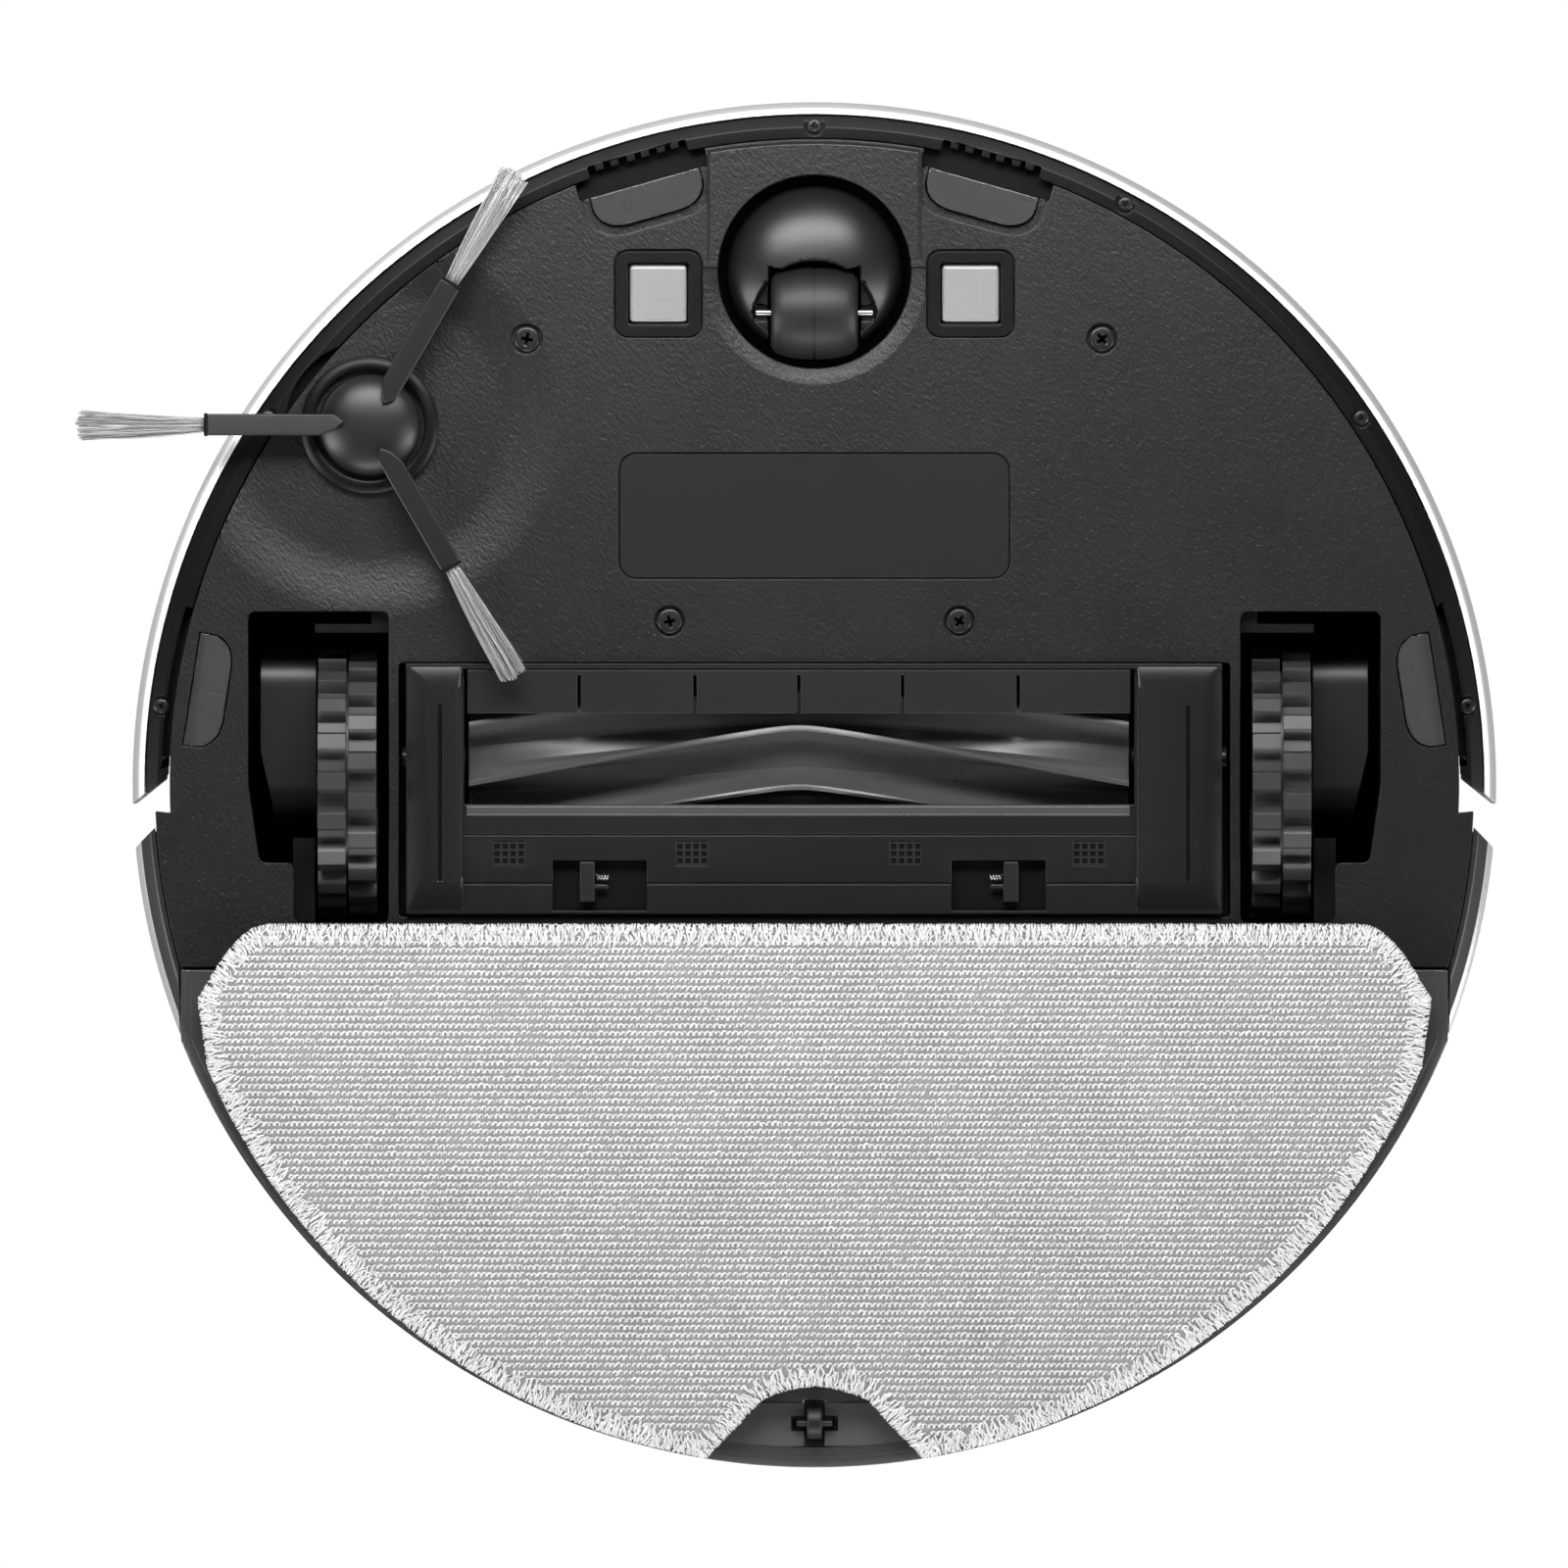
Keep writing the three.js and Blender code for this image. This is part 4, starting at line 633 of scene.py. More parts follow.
def make_brushed():
    """Fine lines along X, as of a brushed or drawn metal."""
    tree, start, end = effect(
        "Drawn lines", [("Lines per metre", "NodeSocketFloat", 2500.0)],
        [("Height", "NodeSocketFloat"), ("Roughness", "NodeSocketFloat")],
    )
    place = node(tree, "ShaderNodeTexCoord").outputs["Object"]
    split = node(tree, "ShaderNodeSeparateXYZ", {"Vector": place})
    along = maths(tree, "MULTIPLY", split.outputs["X"], 0.04)
    thin = node(tree, "ShaderNodeCombineXYZ", {
        "X": along, "Y": split.outputs["Y"], "Z": split.outputs["Z"],
    }).outputs["Vector"]
    lines = node(tree, "ShaderNodeTexNoise", {
        "Vector": thin, "Scale": start.outputs["Lines per metre"], "Detail": 2.0,
    }).outputs["Fac"]
    tree.links.new(lines, end.inputs["Height"])
    tree.links.new(maths(tree, "ADD", 0.22, maths(tree, "MULTIPLY", lines, 0.2)), end.inputs["Roughness"])
    return tree


def make_wear():
    """A mask of paler convex edges, broken up by noise: partly edge wear, partly a painted highlight on the
    edges.
    """
    tree, start, end = effect(
        "Worn and lit edges", [("Reach", "NodeSocketFloat", 0.53)], [("Mask", "NodeSocketFloat")]
    )
    edge = node(tree, "ShaderNodeNewGeometry").outputs["Pointiness"]
    place = node(tree, "ShaderNodeTexCoord").outputs["Object"]
    breaks = node(tree, "ShaderNodeTexNoise", {
        "Vector": place, "Scale": 320.0, "Detail": 4.0,
    }).outputs["Fac"]
    raised = maths(tree, "MULTIPLY", maths(tree, "SUBTRACT", edge, start.outputs["Reach"]), 12.0)
    mask = maths(tree, "MULTIPLY", raised, breaks)
    held = node(tree, "ShaderNodeClamp", {"Value": mask}).outputs["Result"]
    tree.links.new(held, end.inputs["Mask"])
    return tree


EFFECTS = {}
FINISHES = {}


def placed_effect(tree, key, **values):
    made = node(tree, "ShaderNodeGroup", node_tree=EFFECTS[key])
    for label, value in values.items():
        socket = made.inputs[label.replace("_", " ")]
        if isinstance(value, bpy.types.NodeSocket):
            tree.links.new(value, socket)
        else:
            socket.default_value = value
    return made


def finish(name, colour, roughness, texture=None, cells=0.0, depth=0.0, drift=0.15, wear=0.0,
           strand=0.0, stretch=0.55, **constants):
    """A procedural material; texture is leather, spark or brushed, and depth is in millimetres."""
    material = bpy.data.materials.new(name)
    material.use_nodes = True
    tree = material.node_tree
    shader = tree.nodes["Principled BSDF"]
    rgba = (*colour, 1)
    tone = placed_effect(tree, "tone", Colour=rgba, Roughness=roughness, Amount=drift)
    shade = tone.outputs["Colour"]
    if strand:
        mark = node(tree, "ShaderNodeAttribute", attribute_name="shade")
        gain = maths(tree, "ADD", 1 - strand / 2, maths(tree, "MULTIPLY", mark.outputs["Fac"], strand))
        lit = node(tree, "ShaderNodeVectorMath", {0: shade}, operation="SCALE")
        tree.links.new(gain, lit.inputs["Scale"])
        shade = lit.outputs["Vector"]
    # Paler convex edges: partly real edge wear, partly a painted highlight where edges catch the light.
    if wear:
        mask = placed_effect(tree, "wear").outputs["Mask"]
        pale = tuple(min(1, c * 2.2 + 0.03) for c in colour)
        rubbed_and_lit = node(tree, "ShaderNodeMix", data_type="RGBA")
        tree.links.new(maths(tree, "MULTIPLY", mask, wear), rubbed_and_lit.inputs["Factor"])
        tree.links.new(shade, rubbed_and_lit.inputs["A"])
        rubbed_and_lit.inputs["B"].default_value = (*pale, 1)
        shade = rubbed_and_lit.outputs["Result"]
    tree.links.new(shade, shader.inputs["Base Color"])
    rough = tone.outputs["Roughness"]
    if texture:
        if texture == "leather":
            relief = placed_effect(tree, "leather", Cells_per_metre=cells, Stretch=stretch)
        elif texture == "spark":
            relief = placed_effect(tree, "spark", Pits_per_metre=cells)
        else:
            relief = placed_effect(tree, "brushed", Lines_per_metre=cells)
            rough = relief.outputs["Roughness"]
        bump = node(tree, "ShaderNodeBump", {
            "Strength": 1.0, "Distance": depth * MM, "Height": relief.outputs["Height"],
        })
        tree.links.new(bump.outputs["Normal"], shader.inputs["Normal"])
    tree.links.new(rough, shader.inputs["Roughness"])
    for label, value in constants.items():
        shader.inputs[label.replace("_", " ")].default_value = value
    FINISHES[name] = material
    return material


def make_finishes():
    look = bpy.context.scene.vacuum_looks
    EFFECTS.update(
        tone=make_tone(), leather=make_leather(), spark=make_spark(),
        brushed=make_brushed(), wear=make_wear(),
    )
    black = tuple(look.plate_colour)
    white = tuple(look.shell_colour)
    finish("grained black", black, 0.43, "leather", look.grain_cells, look.grain_depth, wear=0.05,
           Specular_IOR_Level=0.5)
    finish("smooth black", (0.004, 0.004, 0.0044), 0.4, "spark", 2600, 0.008, wear=0.05,
           Specular_IOR_Level=0.22)
    finish("satin black", (0.008, 0.008, 0.0085), 0.33, "spark", 1500, 0.005, wear=0.1,
           Specular_IOR_Level=0.45)
    finish("label black", (0.0085, 0.0085, 0.0085), 0.6, "spark", 2600, 0.01, Specular_IOR_Level=0.25)
    finish("shell white", white, 0.28, "spark", 1600, 0.003, drift=0.04, Coat_Weight=0.25)
    finish("deck white", white, 0.36, "spark", 1800, 0.008, drift=0.05)
    # The white shell and bumper get painted shade where seen at a grazing angle, for the darker outer band
    # of their wall.
    paint_grazing_shade(FINISHES["shell white"], 0.5)
    finish("skirt grey", (0.018, 0.018, 0.019), 0.4, "spark", 2200, 0.01)
    finish("inner grey", (0.055, 0.06, 0.07), 0.5, "spark", 1800, 0.02)
    finish("turret black", (0.012, 0.012, 0.013), 0.2, "spark", 1200, 0.003, Coat_Weight=0.4)
    finish("battery wrap", (0.02, 0.045, 0.09), 0.3, "spark", 300, 0.05)
    finish("circuit board", (0.01, 0.07, 0.03), 0.35, "leather", 400, 0.03, drift=0.4)
    finish("motor can", (0.55, 0.55, 0.56), 0.3, "brushed", 2500, 0.01, Metallic=1.0)
    finish("screw black", (0.03, 0.03, 0.032), 0.33, "spark", 2600, 0.012, drift=0.3, wear=0.6,
           Metallic=0.6)
    finish("contact metal", (0.32, 0.32, 0.325), 0.3, "brushed", 1800, 0.004, Metallic=0.35)
    finish("pin steel", (0.5, 0.5, 0.52), 0.25, "brushed", 2500, 0.01, Metallic=1.0)
    finish("gearbox grey", (0.013, 0.013, 0.0135), 0.34, "spark", 2200, 0.01, wear=0.1)
    finish("tyre rubber", (0.03, 0.03, 0.031), 0.42, "spark", 1500, 0.02, drift=0.3, wear=0.35)
    finish("castor black", (0.008, 0.008, 0.0085), 0.36, "spark", 2200, 0.008)
    finish("castor rubber", (0.007, 0.007, 0.007), 0.5, "spark", 1800, 0.015, drift=0.2)
    finish("brush rubber", (0.06, 0.06, 0.063), 0.3, "spark", 1200, 0.012, drift=0.25)
    finish("arm rubber", (0.01, 0.01, 0.0105), 0.4, "spark", 1800, 0.01)
    finish("bristle", tuple(look.bristle_colour), 0.4, drift=0.2, strand=0.9)
    finish("mop back", (0.06, 0.06, 0.062), 0.6, "leather", 700, 0.03)
    finish("mop cloth", tuple(look.cloth_colour), 0.9, "leather", 2600, 0.05, drift=0.12,
           strand=0.28, Sheen_Weight=0.25, Sheen_Roughness=0.5)
    # The ground between the loops: the cloth's own colour darkened to 0.44, painted shade for the gaps
    # between loops.
    finish("mop cloth in painted shade", tuple(0.44 * c for c in look.cloth_colour), 0.95, "leather", 1300, 0.15,
           drift=0.2, Sheen_Weight=0.2)
    # Near black for dark parts, and painted shade on sheets set behind gaps, slots and mesh and on the
    # walls of the wheel wells.
    finish("near black and painted shade", (0.003, 0.003, 0.003), 0.6, "spark", 1200, 0.01, Specular_IOR_Level=0.15)
    make_smoke("smoke clear", (0.17, 0.17, 0.175), 0.16, 0.72)
    make_smoke("lens smoke", (0.3, 0.3, 0.305), 0.05, 0.9)


def paint_grazing_shade(material, share):
    """Darkens a material where it's seen at a grazing angle: painted shade, standing for the less lit outer
    band of the shell's wall.
    """
    tree = material.node_tree
    socket = tree.nodes["Principled BSDF"].inputs["Base Color"]
    facing = node(tree, "ShaderNodeLayerWeight", {"Blend": 0.5}).outputs["Facing"]
    held = node(tree, "ShaderNodeMapRange", {
        "Value": facing, "From Min": 0.5, "From Max": 0.8, "To Min": 1.0, "To Max": share,
    }).outputs["Result"]
    dimmed = node(tree, "ShaderNodeVectorMath", {0: socket.links[0].from_socket}, operation="SCALE")
    tree.links.new(held, dimmed.inputs["Scale"])
    tree.links.new(dimmed.outputs["Vector"], socket)


def make_smoke(name, colour, roughness, through):
    """Smoky clear plastic with a faint ripple."""
    material = finish(name, colour, roughness, "spark", 240, 0.003, drift=0.05, IOR=1.49)
    material.node_tree.nodes["Principled BSDF"].inputs["Transmission Weight"].default_value = through


def done(piece, body, finish_name, slot, *nodes):
    """Gives a finished piece its material and its body, and hides the nodes it stands for. The slot is not
    used.
    """
    free()
    piece.data.materials.clear()
    piece.data.materials.append(FINISHES[finish_name])
    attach(piece, body)
    if nodes:
        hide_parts(*nodes)
    return piece


def keep(node_name, finish_name):
    """Keeps a CAD node's shape and gives it a better finish."""
    piece = NODES[node_name]
    if piece.material_slots:
        piece.material_slots[0].material = FINISHES[finish_name]
    else:
        piece.data.materials.append(FINISHES[finish_name])


# --------------------------------------------------------- settings shown
class VacuumSizes(bpy.types.PropertyGroup):
    """Sizes of the details that aren't in the frame."""

    loop_pitch: bpy.props.FloatProperty(
        name="Loop pitch", description="From one loop of the cloth to the next, in millimetres",
        default=1.43, min=1.2, max=4,
    )
    row_pitch: bpy.props.FloatProperty(
        name="Row pitch", description="From one row of loops to the next, in millimetres",
        default=1.93, min=1.5, max=5,
    )
    hem_width: bpy.props.FloatProperty(
        name="Hem width", description="Width of the overlocked hem, in millimetres",
        default=5.5, min=2, max=10,
    )
    bristles: bpy.props.IntProperty(
        name="Bristles", description="Filaments in each tuft of the side brush",
        default=110, min=20, max=300,
    )
    edge_round: bpy.props.FloatProperty(
        name="Edge rounding", description="Rounding of moulded edges, in millimetres",
        default=0.3, min=0.1, max=1,
    )


class VacuumLooks(bpy.types.PropertyGroup):
    """Colours and textures."""

    plate_colour: bpy.props.FloatVectorProperty(
        name="Base colour", description="Moulded black of the underside", subtype="COLOR",
        default=(0.005, 0.005, 0.0054), min=0, max=1,
    )
    shell_colour: bpy.props.FloatVectorProperty(
        name="Shell colour", description="White of the bumper, shell and deck", subtype="COLOR",
        default=(0.86, 0.86, 0.865), min=0, max=1,
    )
    cloth_colour: bpy.props.FloatVectorProperty(
        name="Cloth colour", description="Light grey of the mop cloth", subtype="COLOR",
        default=(0.8, 0.8, 0.795), min=0, max=1,
    )
    bristle_colour: bpy.props.FloatVectorProperty(
        name="Bristle colour", description="Silver grey of the side brush", subtype="COLOR",
        default=(0.36, 0.36, 0.37), min=0, max=1,
    )
    grain_cells: bpy.props.FloatProperty(
        name="Grain cells", description="Wrinkles of the moulded grain per metre",
        default=1350, min=100, max=4000,
    )
    grain_depth: bpy.props.FloatProperty(
        name="Grain depth", description="Height of the moulded grain, in millimetres",
        default=0.15, min=0, max=0.5,
    )


class PieceOperator:
    """What every piece's operator shares."""

    bl_options = {"REGISTER", "UNDO"}

    def execute(self, context):
        self.build(context.scene.vacuum_sizes)
        return {"FINISHED"}


class VACUUM_OT_stage(bpy.types.Operator):
    """Adds the floor, the lights and the camera"""

    bl_idname = "vacuum.stage"
    bl_label = "Stage"

    def execute(self, context):
        scene = context.scene
        scene.view_settings.view_transform = "Standard"
        scene.view_settings.look = "None"
        camera = bpy.data.objects.new("camera", bpy.data.cameras.new("camera"))
        scene.collection.objects.link(camera)
        distance, frame_width, aim_x = 8.0, 0.4017, 0.0078
        camera.data.sensor_width = 36
        camera.data.lens = 36 * distance / frame_width
        camera.location = (aim_x, 0, 0.01 - distance)
        camera.rotation_euler = (0, math.pi, 0)
        camera.data.clip_start = 0.5
        camera.data.clip_end = 30
        scene.camera = camera
        self.floor()
        self.sky(scene)
        for name, place, aim, size, power in (
            ("front below", (0.03, 0.38, -0.33), (0, 0.03, 0), (0.55, 0.16), 4.0),
            ("left below", (1.2, -0.4, -0.5), (0, -0.08, 0), (0.4, 1.0), 11.5),
            ("right below", (-1.2, -0.4, -0.5), (0, -0.08, 0), (0.4, 1.0), 11.5),
            ("rear below", (0, -1.3, -0.62), (0, -0.1, 0), (1.2, 0.4), 11),
            ("axis", (0.0, 0.1, -1.5), (0, 0, 0), (0.4, 0.4), 0.25),
            ("front above", (-0.9, -1.1, 1.5), (0, 0, 0.05), (1.5, 1.5), 26),
            ("back above", (1.2, 1.1, 1.2), (0, 0, 0.05), (1.3, 1.3), 14),
        ):
            self.light(name, place, aim, size, power)
        return {"FINISHED"}

    def light(self, name, place, aim, size, power):
        lamp = bpy.data.lights.new(name, "AREA")
        lamp.shape = "RECTANGLE"
        lamp.size, lamp.size_y = size
        lamp.energy = power
        made = bpy.data.objects.new(name, lamp)
        bpy.context.scene.collection.objects.link(made)
        made.location = place
        made.rotation_euler = (Vector(aim) - Vector(place)).to_track_quat("-Z", "Y").to_euler()

    def floor(self):
        """A pale floor that shows only from above."""
        free()
        bpy.ops.mesh.primitive_plane_add(size=12)
        floor = named("floor")
        material = bpy.data.materials.new("floor")
        material.use_nodes = True
        tree = material.node_tree
        tree.nodes.clear()
        matt = node(tree, "ShaderNodeBsdfDiffuse", {"Color": (0.86, 0.86, 0.86, 1)}).outputs[0]
        gone = node(tree, "ShaderNodeBsdfTransparent").outputs[0]
        back = node(tree, "ShaderNodeNewGeometry").outputs["Backfacing"]
        both = node(tree, "ShaderNodeMixShader", {0: back})
        tree.links.new(matt, both.inputs[1])
        tree.links.new(gone, both.inputs[2])
        node(tree, "ShaderNodeOutputMaterial", {"Surface": both.outputs[0]})
        floor.data.materials.append(material)
        floor.visible_shadow = False
        floor.visible_diffuse = False
        floor.visible_glossy = False
        floor.visible_transmission = False

    def sky(self, scene):
        world = bpy.data.worlds.new("studio")
        scene.world = world
        world.use_nodes = True
        tree = world.node_tree
        tree.nodes.clear()
        seen = node(tree, "ShaderNodeLightPath").outputs["Is Camera Ray"]
        plain = node(tree, "ShaderNodeBackground", {"Color": (1, 1, 1, 1), "Strength": 1.0}).outputs[0]
        way = node(tree, "ShaderNodeTexCoord").outputs["Generated"]
        height = node(tree, "ShaderNodeSeparateXYZ", {"Vector": way}).outputs["Z"]
        glow = node(tree, "ShaderNodeMapRange", {
            "Value": height, "From Min": -0.15, "From Max": 0.25, "To Min": 0.035, "To Max": 0.4,
        }).outputs["Result"]
        soft = node(tree, "ShaderNodeBackground", {"Color": (1, 1, 1, 1), "Strength": glow}).outputs[0]
        both = node(tree, "ShaderNodeMixShader", {0: seen})
        tree.links.new(soft, both.inputs[1])
        tree.links.new(plain, both.inputs[2])
        node(tree, "ShaderNodeOutputWorld", {"Surface": both.outputs[0]})


class VACUUM_OT_base_plate(PieceOperator, bpy.types.Operator):
    """Models the grained base plate with its wells, bay, dish and recesses"""

    bl_idname = "vacuum.base_plate"
    bl_label = "Base plate"

    def build(self, sizes):
        start_front = math.degrees(math.asin(NOTCH_BACK / FRONT_R))
        front = arc(FRONT_R, 90, start_front, 100)
        corner = (FRONT_R + 0.1, NOTCH_BACK + 0.1)
        turn_y = -(FRONT_R * FRONT_R - REAR_R * REAR_R) / 2 / FRONT_R + NOTCH_BACK
        start_rear = math.degrees(math.atan2(turn_y - 3.4, REAR_R))
        end_rear = math.degrees(math.asin((EAR_Y + RUN) / REAR_R))
        half = front + [corner] + arc(REAR_R, start_rear, end_rear, 24)
        half += [(EAR_INNER_X + 0.8 * RUN, EAR_Y + RUN), (144 + 0.6 * RUN, TANK_FRONT + RUN)]
        plate = slab("base_plate_skin", mirrored(half[1:]), PLATE_Z, PLATE_TOP)
        hub_x, hub_y = HUB.x, HUB.y
        dish = [(0, 0), (DISH_R, 0), (DISH_R, PLATE_Z - 0.05)]
        for t in np.linspace(0.05, 1, 14):
            dish.append((DISH_R - 17 * t, PLATE_Z + DISH_DEPTH * t * t * (3 - 2 * t)))
        dish.append((0, PLATE_Z + DISH_DEPTH))
        crescent = [(0, 0), (29.6, 0), (29.6, PLATE_Z - 0.05)]
        for t in np.linspace(0.1, 1, 6):
            crescent.append((29.6 - 8 * t, PLATE_Z + 1.5 * t * t * (3 - 2 * t)))
        crescent.append((0, PLATE_Z + 1.5))
        cuts = [
            spun("tool", dish, hub_x, hub_y, 128),
            kept(spun("tool", crescent, CASTOR.x, CASTOR.y, 96),
                 block("zone", -60, 60, 0, CASTOR.y + 1, 0, 80)),
            disc("tool", CASTOR_POCKET_R, 0, 80, CASTOR.x, CASTOR.y, 128),
            disc("tool", 2.8, 0, 80, hub_x, hub_y, 24),
            slab("tool", rounded(BAY[1] - BAY[0], BAY[3] - BAY[2], 1.2, 0, (BAY[2] + BAY[3]) / 2), 0, 80),
            slab("tool", rounded(100.2, 32.4, 4.5, 0, middle("label_plate").y), 0, PLATE_Z + 1),
        ]
        for name, (degrees, inset) in LENSES.items():
            cuts.append(lens_tool(degrees, inset, GAP, 0, 80))
            if "front" in name:
                cuts.append(lens_tool(degrees, inset, 2.4, 0, PLATE_Z + 1.5))
                slot = block("tool", -LENS[0] / 2 - 2.8, LENS[0] / 2 + 2.8, 0.1, 40, 0, 80)
                cuts.append(carried(slot, FRONT_R - inset, degrees))
        for side in (1, -1):
            contact = middle("charge_contact_right")
            x, y = side * contact.x, contact.y
            cuts.append(slab("tool", eased(well_plan(side, 0), 2.2), 0, 80))
            cuts.append(slab("tool", rounded(22.6, 22.6, 3.5, x, y), 0, PLATE_Z + 1.1))
            cuts.append(block("tool", x - 7.6, x + 7.6, y - 7.6, y + 7.6, 0, 80))
        for i in range(1, 5):
            screw = middle(f"base_screw_{i}")
            cuts.append(disc("tool", 4, 0, PLATE_Z + 1.5, screw.x, screw.y, 48))
            cuts.append(disc("tool", 1.8, 0, 80, screw.x, screw.y, 16))
        cut(plate, *cuts)
        softened(plate, sizes.edge_round, 2, sharp=28, smooth=30)
        done(plate, "chassis", "grained black", "grained_black", "base_plate")
        self.rise(sizes)
        # A near black ring behind the gap between plate and liner: a painted shadow seen through the gap.
        ring = [(160.1, 16.35), (FRONT_R, 16.35), (FRONT_R, 16.7), (160.1, 16.7)]
        backing = kept(spun("edge_backing", ring, steps=FINE),
                       block("tool", -REACH, REACH, NOTCH_FRONT + 1, REACH, 0, 80))
        done(softened(backing, 0), "chassis", "near black and painted shade", "smooth_black")
        wall = slab("bay", tank_plan(RUN + PLATE_T), PLATE_Z + 0.2, TANK_TOP + RUN + PLATE_T)
        kept(wall, disc("tool", REAR_R - 0.2, 0, 80, 0, 0, 192),
             block("tool", -REACH, REACH, -REACH, TANK_FRONT + RUN + PLATE_T, 0, 80))
        cut(wall, slab("tool", tank_plan(RUN), 0, TANK_TOP + RUN))
        wall.name = wall.data.name = "tank_bay"
        softened(wall, 0, smooth=30)
        done(wall, "chassis", "smooth black", "grained_black")

    def rise(self, sizes):
        """The raised part of the plate ahead of the castor, and the frames round the contacts."""
        front = FRONT_R - 0.5
        half = math.degrees(math.asin(27.7 / front))
        plan = arc(front, 90 - half, 90 + half, 30) + [(-27.7, 133), (27.7, 133)]
        inner = arc(front - 0.8, 90 - half * 0.965, 90 + half * 0.965, 30)
        inner += [(-26.6, 134.4), (26.6, 134.4)]
        rise = tapered("front_rise", plan, inner, PLATE_Z + 0.2, PLATE_Z - 0.7)
        cut(rise, disc("tool", CASTOR_POCKET_R, 0, 80, CASTOR.x, CASTOR.y, 128))
        done(softened(rise, 0.3, 2, sharp=20, smooth=30), "chassis", "grained black", "grained_black")
        for name in ("right", "left"):
            place = middle(f"charge_contact_{name}")
            outline = rounded(21.9, 21.9, 3.3, place.x, place.y)
            rim = slab(f"contact_frame_{name}", outline, PLATE_Z - 0.4, PLATE_Z + 1.1)
            cut(rim, slab("tool", rounded(16.2, 16.2, 1.2, place.x, place.y), 0, 80))
            done(softened(rim, 0.35, 3), "chassis", "smooth black", "smooth_black")


